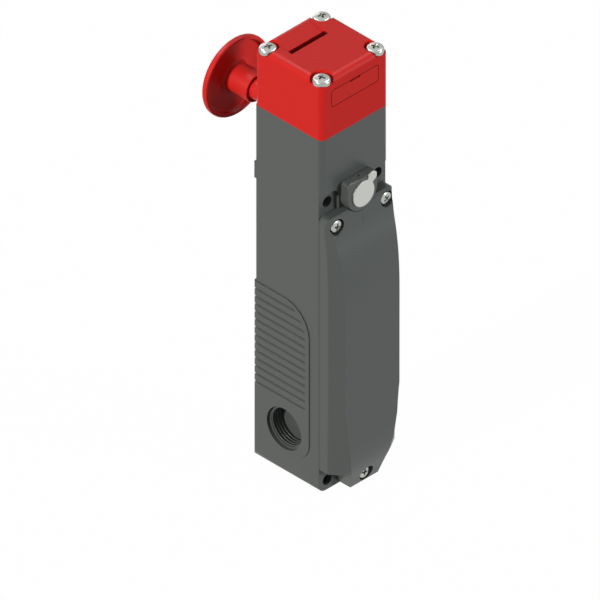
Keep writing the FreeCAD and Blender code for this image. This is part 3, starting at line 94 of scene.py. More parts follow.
def mottleGroup():
    # soft clouding of a colour, a speckle of grain and a fine height for the bump
    tree, come, leave = newGroup(
        "mottledCoat",
        [("Colour", "NodeSocketColor", (0.5, 0.5, 0.5, 1)), ("Clouding", "NodeSocketFloat", 0.05),
         ("Cloud Scale", "NodeSocketFloat", 60.0), ("Grain Scale", "NodeSocketFloat", 2600.0),
         ("Grain", "NodeSocketFloat", 0.04), ("Roughness", "NodeSocketFloat", 0.5)],
        [("Colour", "NodeSocketColor"), ("Roughness", "NodeSocketFloat"), ("Height", "NodeSocketFloat")])
    place = add(tree, "ShaderNodeTexCoord").outputs["Object"]
    clouds = add(tree, "ShaderNodeTexNoise", [("Vector", place), ("Scale", come.outputs["Cloud Scale"]),
                                              ("Detail", 4.0)])
    grain = add(tree, "ShaderNodeTexNoise", [("Vector", place), ("Scale", come.outputs["Grain Scale"]),
                                             ("Detail", 2.0)])
    cloud = mathNode(tree, "MULTIPLY", mathNode(tree, "SUBTRACT", clouds.outputs["Fac"], 0.5),
                     come.outputs["Clouding"])
    speck = mathNode(tree, "MULTIPLY", mathNode(tree, "SUBTRACT", grain.outputs["Fac"], 0.5),
                     come.outputs["Grain"])
    shift = mathNode(tree, "ADD", mathNode(tree, "ADD", cloud, speck), 1.0)
    tone = add(tree, "ShaderNodeVectorMath", [(0, come.outputs["Colour"])], operation="SCALE")
    tree.links.new(shift, tone.inputs["Scale"])
    rough = mathNode(tree, "ADD", come.outputs["Roughness"], mathNode(tree, "MULTIPLY", cloud, 1.5))
    tree.links.new(tone.outputs[0], leave.inputs["Colour"])
    tree.links.new(rough, leave.inputs["Roughness"])
    tree.links.new(grain.outputs["Fac"], leave.inputs["Height"])
    return tree


def machinedGroup():
    # fine lines left by turning, grinding or rolling, running across the stretched axis
    tree, come, leave = newGroup(
        "machinedLines",
        [("Colour", "NodeSocketColor", (0.6, 0.6, 0.6, 1)), ("Stretch", "NodeSocketVector", (1, 1, 20)),
         ("Line Scale", "NodeSocketFloat", 400.0), ("Depth", "NodeSocketFloat", 0.1),
         ("Roughness", "NodeSocketFloat", 0.3)],
        [("Colour", "NodeSocketColor"), ("Roughness", "NodeSocketFloat"), ("Height", "NodeSocketFloat")])
    place = add(tree, "ShaderNodeTexCoord").outputs["Object"]
    stretched = add(tree, "ShaderNodeVectorMath", [(0, place), (1, come.outputs["Stretch"])],
                    operation="MULTIPLY").outputs[0]
    lines = add(tree, "ShaderNodeTexNoise", [("Vector", stretched), ("Scale", come.outputs["Line Scale"]),
                                             ("Detail", 6.0), ("Roughness", 0.65)]).outputs["Fac"]
    centred = mathNode(tree, "MULTIPLY", mathNode(tree, "SUBTRACT", lines, 0.5), come.outputs["Depth"])
    tone = add(tree, "ShaderNodeVectorMath", [(0, come.outputs["Colour"])], operation="SCALE")
    tree.links.new(mathNode(tree, "ADD", centred, 1.0), tone.inputs["Scale"])
    rough = mathNode(tree, "ADD", come.outputs["Roughness"], centred)
    tree.links.new(tone.outputs[0], leave.inputs["Colour"])
    tree.links.new(rough, leave.inputs["Roughness"])
    tree.links.new(lines, leave.inputs["Height"])
    return tree


mottledCoat = mottleGroup()
machinedLines = machinedGroup()


def linear(red, green, blue):
    # an sRGB colour on 0-255 as linear light
    shares = [channel / 255 for channel in (red, green, blue)]
    return tuple(share / 12.92 if share <= 0.04045 else ((share + 0.055) / 1.055) ** 2.4
                 for share in shares) + (1.0,)


bumpDistance = 0.02 * mm


def newMaterial(name, group, settings, shader, bump):
    # one effect group feeds a Principled shader; the shader's own plain values come last
    material = bpy.data.materials.new(name)
    material.use_nodes = True
    tree = material.node_tree
    surface = tree.nodes["Principled BSDF"]
    finish = add(tree, "ShaderNodeGroup", node_tree=group)
    for label, value in settings.items():
        finish.inputs[label].default_value = value
    tree.links.new(finish.outputs["Colour"], surface.inputs["Base Color"])
    tree.links.new(finish.outputs["Roughness"], surface.inputs["Roughness"])
    relief = add(tree, "ShaderNodeBump", [("Strength", bump), ("Distance", bumpDistance),
                                          ("Height", finish.outputs["Height"])])
    tree.links.new(relief.outputs["Normal"], surface.inputs["Normal"])
    for label, value in shader.items():
        surface.inputs[label].default_value = value
    return material


# painted, moulded and rubber finishes; colours as sRGB on 0-255, scales per metre
coats = {
    "greyCoat": dict(colour=(79, 83, 81), clouding=0.03, cloudScale=45.0, grain=0.05, grainScale=3200.0,
                     roughness=0.37, bump=0.2, specular=0.36),
    "redCoat": dict(colour=(216, 38, 34), clouding=0.03, cloudScale=45.0, grain=0.03, grainScale=3200.0,
                    roughness=0.45, bump=0.15, specular=0.12),
    "redMoulding": dict(colour=(216, 38, 34), clouding=0.03, cloudScale=60.0, grain=0.02, grainScale=4200.0,
                        roughness=0.45, bump=0.08, specular=0.15),
    # slotShade is painted shade: the dark red put where the slot and the plug's joint lie in shadow
    "slotShade": dict(colour=(84, 12, 10), clouding=0.03, cloudScale=60.0, grain=0.02, grainScale=4200.0,
                      roughness=0.7, bump=0.05, specular=0.1),
    "sealGrey": dict(colour=(80, 84, 83), clouding=0.05, cloudScale=200.0, grain=0.06, grainScale=5000.0,
                     roughness=0.7, bump=0.2, specular=0.3),
    "blackRubber": dict(colour=(38, 39, 38), clouding=0.12, cloudScale=300.0, grain=0.1, grainScale=5000.0,
                        roughness=0.75, bump=0.3, specular=0.3),
    "darkMoulding": dict(colour=(58, 59, 62), clouding=0.06, cloudScale=120.0, grain=0.08, grainScale=3800.0,
                         roughness=0.55, bump=0.2, specular=0.4),
    "paleMoulding": dict(colour=(218, 218, 208), clouding=0.04, cloudScale=150.0, grain=0.05,
                         grainScale=3800.0, roughness=0.45, bump=0.15, specular=0.4),
    "coilTape": dict(colour=(42, 42, 46), clouding=0.1, cloudScale=500.0, grain=0.2, grainScale=1500.0,
                     roughness=0.5, bump=0.5, specular=0.45),
}
# metal finishes; the lines run across the axis that is stretched most
metals = {
    "screwPlate": dict(colour=(176, 179, 173), stretch=(1, 1, 1), lineScale=900.0, depth=0.10,
                       roughness=0.26, bump=0.12),
    "groundSteel": dict(colour=(172, 172, 170), stretch=(1, 1, 14), lineScale=500.0, depth=0.25,
                        roughness=0.34, bump=0.25),
    "springSteel": dict(colour=(150, 150, 150), stretch=(4, 4, 4), lineScale=900.0, depth=0.2,
                        roughness=0.36, bump=0.2),
    "sheetSteel": dict(colour=(182, 182, 172), stretch=(1, 12, 1), lineScale=350.0, depth=0.2,
                       roughness=0.42, bump=0.2),
    "brassParts": dict(colour=(208, 176, 104), stretch=(1, 14, 1), lineScale=450.0, depth=0.2,
                       roughness=0.34, bump=0.2),
    "barrelPlate": dict(colour=(190, 190, 188), stretch=(1, 20, 1), lineScale=400.0, depth=0.12,
                        roughness=0.25, bump=0.15),
    "shutterSatin": dict(colour=(186, 188, 183), stretch=(1, 1, 9), lineScale=700.0, depth=0.10,
                         roughness=0.48, bump=0.12),
}
finishes = {}
for name, coat in coats.items():
    finishes[name] = newMaterial(
        name, mottledCoat,
        {"Colour": linear(*coat["colour"]), "Clouding": coat["clouding"], "Cloud Scale": coat["cloudScale"],
         "Grain": coat["grain"], "Grain Scale": coat["grainScale"], "Roughness": coat["roughness"]},
        {"Specular IOR Level": coat["specular"]}, coat["bump"])
for name, metal in metals.items():
    finishes[name] = newMaterial(
        name, machinedLines,
        {"Colour": linear(*metal["colour"]), "Stretch": metal["stretch"], "Line Scale": metal["lineScale"],
         "Depth": metal["depth"], "Roughness": metal["roughness"]},
        {"Metallic": 1.0}, metal["bump"])
print("materials made:", len(finishes))

nodeFinish = {
    "greyCoat": ["housing", "cover"],
    "redCoat": ["head"],
    "redMoulding": ["slot_plug", "escape_knob", "escape_rod"],
    "sealGrey": ["cover_gasket", "head_gasket"],
    "blackRubber": ["escape_seal"],
    "darkMoulding": ["left_contact_block", "right_contact_block"],
    "paleMoulding": ["left_contact_slider", "right_contact_slider", "lock_follower"],
    "coilTape": ["solenoid_coil"],
    "screwPlate": ["cover_screws", "head_screws", "chassis_screws"],
    "groundSteel": ["cam_wheel", "cam_axle", "push_rod", "lock_pin", "solenoid_core", "release_cam"],
    "springSteel": ["lock_spring", "rod_clip"],
    "sheetSteel": ["solenoid_yoke", "chassis_plate"],
    "brassParts": ["plunger_guide", "terminal_screws", "earth_screw", "key_plug"],
    "barrelPlate": ["lock_barrel", "lock_nut", "escape_guide"],
    "shutterSatin": ["key_shutter", "shutter_rivet"],
}
for finish, names in nodeFinish.items():
    for name in names:
        nodes[name].data.materials.clear()
        nodes[name].data.materials.append(finishes[finish])
print("finishes given to", sum(len(names) for names in nodeFinish.values()), "nodes")


def link(piece):
    scene.collection.objects.link(piece)
    return piece


def meshPiece(bm, name):
    mesh = bpy.data.meshes.new(name)
    bm.to_mesh(mesh)
    bm.free()
    return link(bpy.data.objects.new(name, mesh))


def closedPiece(bm, name):
    bmesh.ops.recalc_face_normals(bm, faces=bm.faces)
    return meshPiece(bm, name)


def plainMesh(piece):
    # works the piece's modifiers into its mesh
    graph = bpy.context.evaluated_depsgraph_get()
    mesh = bpy.data.meshes.new_from_object(piece.evaluated_get(graph))
    piece.modifiers.clear()
    piece.data = mesh
    return piece


def shadeByAngle(piece, degrees):
    # smooth faces, with sharp edges where two faces meet at more than the angle
    mesh = piece.data
    mesh.shade_smooth()
    bm = bmesh.new()
    bm.from_mesh(mesh)
    for edge in bm.edges:
        edge.smooth = len(edge.link_faces) == 2 and edge.calc_face_angle(0.0) < math.radians(degrees)
    bm.to_mesh(mesh)
    bm.free()


def weighNormals(piece):
    # large flat faces keep their shading and narrow rounded edges blend into them
    weigh = piece.modifiers.new("weigh", "WEIGHTED_NORMAL")
    weigh.keep_sharp = True
    weigh.weight = 90
    plainMesh(piece)


def carved(piece, tool):
    # the piece with the tool taken out; the tool goes
    carve = piece.modifiers.new("carve", "BOOLEAN")
    carve.operation = "DIFFERENCE"
    carve.solver = "EXACT"
    carve.use_self = True
    carve.object = tool
    plainMesh(piece)
    bpy.data.objects.remove(tool)
    return piece


def mergedCopy(node, name):
    # a CAD node's mesh with its loose triangles joined, for softer shading
    bm = bmesh.new()
    bm.from_mesh(nodes[node].data)
    bmesh.ops.remove_doubles(bm, verts=bm.verts, dist=2e-6)
    bmesh.ops.dissolve_degenerate(bm, edges=bm.edges, dist=1e-6)
    return meshPiece(bm, name)


# faces of a smoothed copy that meet at less than this are shaded as one, in degrees
smoothAngles = dict(housing=42.0, cover=30.0, head=42.0, slot_plug=30.0)


def finishPiece(piece, material, node):
    # the piece in one finish, in place of a node of the casing
    piece.data.materials.clear()
    piece.data.materials.append(finishes[material])
    shadeByAngle(piece, smoothAngles[node])
    weighNormals(piece)
    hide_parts(node)
    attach(piece, "casing")


def lathe(profile, axis, centre, name, material, segments, smoothAngle):
    # turns a profile of (radius, place along the axis) in mm about the unit axis through the centre
    bm = bmesh.new()
    toAxis = Vector((0, 0, 1)).rotation_difference(Vector(axis)).to_matrix()
    rings = []
    for radius, place in profile:
        if radius < 1e-6:
            rings.append([bm.verts.new(toAxis @ Vector((0, 0, place)) * mm + centre)])
            continue
        ring = []
        for step in range(segments):
            angle = 2 * math.pi * step / segments
            spot = toAxis @ Vector((radius * math.cos(angle), radius * math.sin(angle), place))
            ring.append(bm.verts.new(spot * mm + centre))
        rings.append(ring)
    for low, high in zip(rings, rings[1:]):
        for step in range(segments):
            after = (step + 1) % segments
            corners = [low[step % len(low)], low[after % len(low)], high[after % len(high)],
                       high[step % len(high)]]
            unique = list(dict.fromkeys(corners))
            if len(unique) > 2:
                bm.faces.new(unique)
    bmesh.ops.remove_doubles(bm, verts=bm.verts, dist=1e-7)
    piece = closedPiece(bm, name)
    piece.data.materials.append(finishes[material])
    shadeByAngle(piece, smoothAngle)
    return piece


def arcPoints(centre, radius, start, end, count):
    # points of an arc in the profile plane, angles in degrees
    found = []
    for step in range(count + 1):
        angle = math.radians(start + (end - start) * step / count)
        found.append((centre[0] + radius * math.cos(angle), centre[1] + radius * math.sin(angle)))
    return found


def prism(bm, corners, along, half):
    # a straight bar of the given section in mm, reaching half either way along the direction
    ends = [[bm.verts.new((corner + along * reach) * mm) for corner in corners] for reach in (-half, half)]
    for step in range(len(corners)):
        after = (step + 1) % len(corners)
        bm.faces.new([ends[0][step], ends[0][after], ends[1][after], ends[1][step]])
    bm.faces.new(ends[0][::-1])
    bm.faces.new(ends[1])


def closedBand(bm, loops):
    # faces between each loop of points and the next one, and from the last back to the first
    for one, two in zip(loops, loops[1:] + loops[:1]):
        for step in range(len(one)):
            after = (step + 1) % len(one)
            bm.faces.new([one[step], one[after], two[after], two[step]])


def fromNodes(name, tree, settings, host=None):
    # runs a geometry tree with the given inputs and keeps the result as a plain mesh
    host = host or bpy.data.meshes.new(name + "Host")
    maker = link(bpy.data.objects.new(name + "Maker", host))
    modifier = maker.modifiers.new("make", "NODES")
    modifier.node_group = tree
    sockets = {item.name: item.identifier for item in tree.interface.items_tree
               if item.item_type == "SOCKET" and item.in_out == "INPUT"}
    for label, value in settings.items():
        modifier[sockets[label]] = value
    graph = bpy.context.evaluated_depsgraph_get()
    mesh = bpy.data.meshes.new_from_object(maker.evaluated_get(graph))
    mesh.name = name
    bpy.data.objects.remove(maker)
    return link(bpy.data.objects.new(name, mesh))


def newGeometryTree(name, inputs):
    tree = bpy.data.node_groups.new(name, "GeometryNodeTree")
    tree.interface.new_socket("Geometry", in_out="INPUT", socket_type="NodeSocketGeometry")
    for label, kind, default in inputs:
        socket = tree.interface.new_socket(label, in_out="INPUT", socket_type=kind)
        if default is not None:
            socket.default_value = default
    tree.interface.new_socket("Geometry", in_out="OUTPUT", socket_type="NodeSocketGeometry")
    return tree, tree.nodes.new("NodeGroupInput"), tree.nodes.new("NodeGroupOutput")


# a cross recess narrows downwards: shares of the screw's own recess sizes at its top and its bottom
recess = dict(above=1.0, reachTop=1.0, reachLow=0.45, widthTop=1.15, widthLow=0.8, coreTop=1.2, coreLow=0.5)


def recessTool(name, screw):
    # two crossed wedges and a cone between them
    bm = bmesh.new()
    top, bottom = screw["height"] + recess["above"], screw["height"] - screw["recessDepth"]
    for turn in (0, 1):
        for vert in bmesh.ops.create_cube(bm, size=1.0)["verts"]:
            end, height = ("Top", top) if vert.co.z > 0 else ("Low", bottom)
            reach = math.copysign(screw["recessHalf"] * recess["reach" + end], vert.co.x)
            thin = math.copysign(screw["recessWidth"] / 2 * recess["width" + end], vert.co.y)
            across = (thin, reach) if turn else (reach, thin)
            vert.co = Vector((*across, height)) * mm
    core = bmesh.ops.create_cone(bm, cap_ends=True, segments=16, depth=(top - bottom) * mm,
                                 radius1=screw["recessCore"] * recess["coreLow"] * mm,
                                 radius2=screw["recessCore"] * recess["coreTop"] * mm)["verts"]
    for vert in core:
        vert.co.z += (top + bottom) / 2 * mm
    return closedPiece(bm, name)


def screwPiece(name, screw):
    # a pan head standing on z = 0 with a cross recess, its shank below
    edge, height = screw["edgeRadius"], screw["height"]
    flat = screw["radius"] - edge
    rings = 5
    profile = [(flat * step / rings, height + screw["crown"] * (1 - (step / rings) ** 2))
               for step in range(rings + 1)]
    profile += arcPoints((flat, height - edge), edge, 78, 0, 6)
    profile += [(screw["radius"], 0.0), (screw["shank"], 0.0), (screw["shank"], -screw["length"]),
                (0.0, -screw["length"])]
    piece = lathe(profile, (0, 0, 1), Vector(), name, "screwPlate", screw["segments"], screw["smoothAngle"])
    carved(piece, recessTool(name + "Recess", screw))
    shadeByAngle(piece, screw["smoothAngle"])
    return piece


def screwTree():
    # one screw set at each point, turned to its axis and spun by a fixed seed
    tree, come, leave = newGeometryTree("setScrews", [
        ("Screw", "NodeSocketObject", None), ("Axis Turn", "NodeSocketRotation", None),
        ("Spin Seed", "NodeSocketInt", 3), ("Finish", "NodeSocketMaterial", None)])
    toPoints = add(tree, "GeometryNodeMeshToPoints", [("Mesh", come.outputs["Geometry"])])
    info = add(tree, "GeometryNodeObjectInfo", [("Object", come.outputs["Screw"])])
    spin = add(tree, "FunctionNodeRandomValue",
               [("Seed", come.outputs["Spin Seed"]), (2, -0.5), (3, 0.5)], data_type="FLOAT")
    aboutZ = add(tree, "ShaderNodeCombineXYZ", [("Z", spin.outputs[1])])
    spun = add(tree, "FunctionNodeEulerToRotation", [(0, aboutZ.outputs[0])])
    both = add(tree, "FunctionNodeRotateRotation", [(0, come.outputs["Axis Turn"]), (1, spun.outputs[0])],
               rotation_space="LOCAL")
    place = add(tree, "GeometryNodeInstanceOnPoints",
                [("Points", toPoints.outputs[0]), ("Instance", info.outputs["Geometry"]),
                 ("Rotation", both.outputs[0])])
    real = add(tree, "GeometryNodeRealizeInstances", [(0, place.outputs[0])])
    finish = add(tree, "GeometryNodeSetMaterial",
                 [("Geometry", real.outputs[0]), ("Material", come.outputs["Finish"])])
    tree.links.new(finish.outputs[0], leave.inputs[0])
    return tree


setScrews = screwTree()


def looseParts(node):
    # the points of each loose part of the node's mesh, one list for each screw
    bm = bmesh.new()
    bm.from_mesh(nodes[node].data)
    bmesh.ops.remove_doubles(bm, verts=bm.verts, dist=1e-6)
    left, parts = set(bm.verts), []
    while left:
        stack, part = [left.pop()], []
        while stack:
            vert = stack.pop()
            part.append(vert.co.copy())
            for edge in vert.link_edges:
                other = edge.other_vert(vert)
                if other in left:
                    left.remove(other)
                    stack.append(other)
        parts.append(part)
    bm.free()
    return parts


def placeScrews(node, name, axis, screw):
    # a dressed screw over each solid one, its crown level with the solid's top
    lift = Vector(axis)
    feet = []
    for part in looseParts(node):
        low = Vector([min(spot[i] for spot in part) for i in range(3)])
        high = Vector([max(spot[i] for spot in part) for i in range(3)])
        middle = (low + high) / 2
        top = max(spot.dot(lift) for spot in part)
        feet.append(middle + lift * (top - (screw["height"] + screw["crown"]) * mm - middle.dot(lift)))
    feet.sort(key=lambda spot: (round(spot.x, 5), round(spot.y, 5), round(spot.z, 5)))
    lowest = min(range(len(feet)), key=lambda number: feet[number].z)
    feet[lowest] = feet[lowest] + lift * screw["lowestOut"] * mm
    host = bpy.data.meshes.new(name + "Points")
    host.from_pydata(feet, [], [])
    source = screwPiece(name + "One", screw)
    turn = Vector((0, 0, 1)).rotation_difference(lift).to_euler()
    piece = fromNodes(name, setScrews, {"Screw": source, "Axis Turn": turn, "Spin Seed": screw["seed"],
                                        "Finish": finishes["screwPlate"]}, host)
    bpy.data.objects.remove(source)
    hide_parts(node)
    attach(piece, "casing")


# sizes in mm; lowestOut is how far the lowest screw of the set stands out past its solid
headScrew = dict(radius=4.0, height=2.45, crown=0.35, edgeRadius=1.1, shank=2.0, length=37.3,
                 recessDepth=1.7, recessHalf=2.2, recessWidth=0.85, recessCore=0.9, seed=4, lowestOut=0.0,
                 segments=40, smoothAngle=30.0)
coverScrew = dict(radius=3.25, height=2.3, crown=0.3, edgeRadius=1.0, shank=1.95, length=8.8,
                  recessDepth=1.5, recessHalf=1.9, recessWidth=0.8, recessCore=0.8, seed=8, lowestOut=1.7,
                  segments=40, smoothAngle=30.0)
placeScrews("head_screws", "headScrews", (0, 0, 1), headScrew)
placeScrews("cover_screws", "coverScrews", (0, -1, 0), coverScrew)
print("screws set")


def threadTree():
    # a helical ridge of triangular section along +Z, moved to its place
    tree, come, leave = newGeometryTree("cutThread", [
        ("Radius", "NodeSocketFloat", 0.009), ("Pitch", "NodeSocketFloat", 0.0015),
        ("Turns", "NodeSocketFloat", 4.0), ("Ridge", "NodeSocketFloat", 0.0005),
        ("Turn", "NodeSocketRotation", None), ("Start", "NodeSocketVector", (0, 0, 0)),
        ("Finish", "NodeSocketMaterial", None)])
    rise = mathNode(tree, "MULTIPLY", come.outputs["Pitch"], come.outputs["Turns"])
    helix = add(tree, "GeometryNodeCurveSpiral",
                [("Resolution", 64), ("Rotations", come.outputs["Turns"]),
                 ("Start Radius", come.outputs["Radius"]), ("End Radius", come.outputs["Radius"]),
                 ("Height", rise)])
    section = add(tree, "GeometryNodeCurvePrimitiveCircle",
                  [("Resolution", 3), ("Radius", come.outputs["Ridge"])])
    upright = add(tree, "GeometryNodeSetCurveNormal", [("Curve", helix.outputs[0])], mode="Z_UP")
    ridge = add(tree, "GeometryNodeCurveToMesh",
                [("Curve", upright.outputs[0]), ("Profile Curve", section.outputs[0]), ("Fill Caps", True)])
    move = add(tree, "GeometryNodeTransform",
               [("Geometry", ridge.outputs[0]), ("Translation", come.outputs["Start"]),
                ("Rotation", come.outputs["Turn"])])
    real = add(tree, "GeometryNodeRealizeInstances", [(0, move.outputs[0])])
    finish = add(tree, "GeometryNodeSetMaterial",
                 [("Geometry", real.outputs[0]), ("Material", come.outputs["Finish"])])
    tree.links.new(finish.outputs[0], leave.inputs[0])
    return tree


# the threads of the conduit entries, in mm
thread = dict(radius=9.2, pitch=1.5, ridge=0.5, sideTurns=4, bottomTurns=7, clear=0.5)
cutThread = threadTree()
entries = [mount for mount in frame["record"]["mounts"] if mount["name"].endswith("entry")]
for mount in entries:
    name = mount["name"]
    out = Vector(mount["axis"])
    wall = mount["dims"]["length_mm"]
    turns = thread["bottomTurns"] if name.startswith("bottom") else thread["sideTurns"]
    start = Vector(mount["pos_m"]) - out * (wall / 2 - thread["clear"]) * mm
    ridge = fromNodes(name + "Thread", cutThread, {
        "Radius": thread["radius"] * mm, "Pitch": thread["pitch"] * mm, "Turns": float(turns),
        "Ridge": thread["ridge"] * mm, "Turn": Vector((0, 0, 1)).rotation_difference(out).to_euler(),
        "Start": start, "Finish": finishes["greyCoat"]})
    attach(ridge, "casing")
print("threads cut:", len(entries))

# the escape knob: radii, and places along +Y from its own near end, in mm
knob = dict(bore=5.0, boreDepth=11.0, mouth=6.1, mouthDepth=1.6, sleeve=6.75, sleeveEdge=0.35, waist=6.8,
            blend=2.2, floor=13.75, dishEdge=1.0, dishInset=1.2, rimNear=11.45, rimInner=17.4, rimEdge=0.45,
            radius=19.2, edge=0.9, rimFar=14.6, backEdge=1.3, dome=15.6, domePower=2.6,
            nearEnd=58.4, height=95.0, segments=128, smoothAngle=40.0)


def knobProfile():
    # from the bore's end round the sleeve, the dish, the rim and the domed back
    sleeve, blend, dish = knob["sleeveEdge"], knob["blend"], knob["dishEdge"]
    inner, edge, back = knob["rimEdge"], knob["edge"], knob["backEdge"]
    points = [(0.0, knob["boreDepth"]), (knob["bore"], knob["boreDepth"]),
              (knob["bore"], knob["mouthDepth"]), (knob["mouth"], knob["mouthDepth"]), (knob["mouth"], 0.0)]
    points += arcPoints((knob["sleeve"] - sleeve, sleeve), sleeve, -90, 0, 4)
    points += arcPoints((knob["waist"] + blend, knob["floor"] - blend), blend, 180, 90, 8)
    points += arcPoints((knob["rimInner"] - knob["dishInset"], knob["floor"] - dish), dish, 90, 20, 5)
    points += arcPoints((knob["rimInner"] + inner, knob["rimNear"] + inner), inner, 190, 270, 4)
    points += arcPoints((knob["radius"] - edge, knob["rimNear"] + edge), edge, -90, 0, 6)
    points += arcPoints((knob["radius"] - back, knob["rimFar"] - back), back, 0, 82, 8)
    rings = 12
    for step in range(1, rings + 1):
        reach = 1 - step / rings
        sag = (knob["dome"] - knob["rimFar"]) * reach ** knob["domePower"]
        points.append(((knob["radius"] - back) * reach, knob["dome"] - sag))
    return points


centre = Vector((0.0, knob["nearEnd"] + frontPlane, knob["height"])) * mm
smoothKnob = lathe(knobProfile(), (0, 1, 0), centre, "smoothKnob", "redMoulding",
                   knob["segments"], knob["smoothAngle"])
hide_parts("escape_knob")
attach(smoothKnob, "escape")
print("knob turned")


# the side grooves' V-notches at the back corners, in mm; valley is the distance of their bottom from
# the middle of the front face, along the diagonal
grooves = dict(count=13, top=10.7, pitch=4.0, valley=41.45, cornerX=20.0, cornerY=-0.45, slope=0.73, open=1.6,
               half=3.2)
# what stands over the release boss's flat top, and is taken off
boss = dict(top=80.1, over=1.5, half=6.5, front=-46.0, back=frontPlane)


def rectangle(left, right, front, back):
    return [(left, front), (right, front), (right, back), (left, back)]


def housingTool():
    # the notches that carry the side grooves round both back corners, and the block over the boss
    bm = bmesh.new()
    for side in (-1, 1):
        outward = Vector((side, 1, 0)).normalized()
        across = Vector((side, -1, 0)).normalized()
        corner = Vector((side * grooves["cornerX"], grooves["cornerY"], 0))
        shift = grooves["valley"] - (corner - Vector((0, frontPlane, 0))).dot(outward)
        spread = Vector((0, 0, grooves["open"] * grooves["slope"]))
        for number in range(grooves["count"]):
            apex = corner + outward * shift + Vector((0, 0, grooves["top"] - number * grooves["pitch"]))
            mouth = apex + outward * grooves["open"]
            prism(bm, [apex, mouth - spread, mouth + spread], across, grooves["half"])
    middle = boss["top"] + boss["over"] / 2
    section = [Vector((x, y, middle))
               for x, y in rectangle(-boss["half"], boss["half"], boss["front"], boss["back"])]
    prism(bm, section, Vector((0, 0, 1)), boss["over"] / 2)
    return closedPiece(bm, "notchTool")


# height above the origin, how far the cover stands out there and the half width of its face, in mm
coverStations = [(-75.8, 5.1, 8.2), (-71.0, 7.1, 9.2), (-64.0, 9.5, 11.3), (-57.0, 10.4, 12.9),
                 (-46.0, 10.5, 14.8), (-31.0, 10.2, 16.4), (21.0, 10.2, 16.7), (33.0, 9.8, 16.7),
                 (41.0, 8.9, 16.8), (48.0, 7.6, 17.0), (54.0, 6.0, 17.4), (58.0, 4.6, 17.7),
                 (65.3, 4.3, 17.7)]
coverOut = [(z, out) for z, out, half in coverStations]
coverHalf = [(z, half) for z, out, half in coverStations]
# cuts are the heights where edges are added for the curve; what stands out less than the rim stays, in mm
ease = dict(window=6.0, rim=3.6, cuts=[*range(-75, -30, 2), *range(14, 65, 2)])


def valueAt(stops, z):
    # the value at a height on straight lines between the stops
    for (z0, low), (z1, high) in zip(stops, stops[1:]):
        if z <= z1:
            return low + (high - low) * (z - z0) / (z1 - z0)
    return stops[-1][1]


def softened(stops, z):
    # the same, averaged over a window that closes towards the ends
    reach = min(ease["window"], z - stops[0][0], stops[-1][0] - z)
    return sum(valueAt(stops, z + reach * step / 4) for step in range(-4, 5)) / 9


def easeCover(piece):
    # turns the cover's straight stations into one curve
    bm = bmesh.new()
    bm.from_mesh(piece.data)
    for z in ease["cuts"]:
        bmesh.ops.bisect_plane(bm, geom=bm.verts[:] + bm.edges[:] + bm.faces[:], dist=1e-7,
                               plane_co=(0, 0, z * mm), plane_no=(0, 0, 1))
    for vert in bm.verts:
        z, out = vert.co.z / mm, frontPlane - vert.co.y / mm
        if not coverOut[0][0] < z < coverOut[-1][0]:
            continue
        face, half = valueAt(coverOut, z), valueAt(coverHalf, z)
        reach = min(max(out - ease["rim"], 0.0) / (face - ease["rim"]), 1.0)
        vert.co.y -= (softened(coverOut, z) - face) * reach * mm
        spread = min(abs(vert.co.x) / mm / half, 1.0) * (softened(coverHalf, z) - half) * reach
        vert.co.x += math.copysign(spread, vert.co.x) * mm
    bm.to_mesh(piece.data)
    bm.free()
    return piece


housing = carved(mergedCopy("housing", "housingSmooth"), housingTool())
finishPiece(housing, "greyCoat", "housing")
cover = easeCover(mergedCopy("cover", "coverSmooth"))
finishPiece(cover, "greyCoat", "cover")
print("housing notched, cover smoothed")

finishPiece(mergedCopy("head", "headSmooth"), "redCoat", "head")
plugBevel = dict(width=0.28, segments=2, angle=60.0)
plug = mergedCopy("slot_plug", "plugSmooth")
bevel = plug.modifiers.new("bevel", "BEVEL")
bevel.width = plugBevel["width"] * mm
bevel.segments = plugBevel["segments"]
bevel.limit_method = "ANGLE"
bevel.angle_limit = math.radians(plugBevel["angle"])
finishPiece(plainMesh(plug), "redMoulding", "slot_plug")

# the painted shadow in the joint round the plug, in mm: a dark frame that stands just proud of the head's
# front face
joint = dict(half=13.78, low=121.27, high=129.33, corner=1.0, wide=0.34, proud=0.02, deep=0.3)


def roundedFrame(grow, y):
    # points round the rectangle, whose corners keep their middles as it grows
    side = joint["half"] - joint["corner"]
    low, high = joint["low"] + joint["corner"], joint["high"] - joint["corner"]
    found = []
    for quarter, centre in enumerate(((side, high), (-side, high), (-side, low), (side, low))):
        start = 90 * quarter
        found += [(x, y, z) for x, z in arcPoints(centre, joint["corner"] + grow, start, start + 90, 6)]
    return found


bm = bmesh.new()
front = frontPlane - joint["proud"]
back = front + joint["deep"]
closedBand(bm, [[bm.verts.new(Vector(spot) * mm) for spot in roundedFrame(grow, y)]
                for grow, y in ((0.0, front), (joint["wide"], front), (joint["wide"], back), (0.0, back))])
jointShadowLine = closedPiece(bm, "plugJoint")
jointShadowLine.data.materials.append(finishes["slotShade"])
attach(jointShadowLine, "casing")

# painted shade: a dark sheet just inside the tongue slot, standing for the shadow in it, in mm
slot = dict(left=-13.35, right=8.75, front=-15.45, back=-12.55, top=135.7, low=132.2, wall=0.08)
bm = bmesh.new()
rings = []
for inset, z in ((0.0, slot["low"]), (0.0, slot["top"]), (slot["wall"], slot["top"]),
                 (slot["wall"], slot["low"])):
    corners = rectangle(slot["left"] + inset, slot["right"] - inset,
                        slot["front"] + inset, slot["back"] - inset)
    rings.append([bm.verts.new((x * mm, y * mm, z * mm)) for x, y in corners])
closedBand(bm, rings)
slotShadeSheet = closedPiece(bm, "slotLining")
slotShadeSheet.data.materials.append(finishes["slotShade"])
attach(slotShadeSheet, "casing")
print("head, plug and slot done")

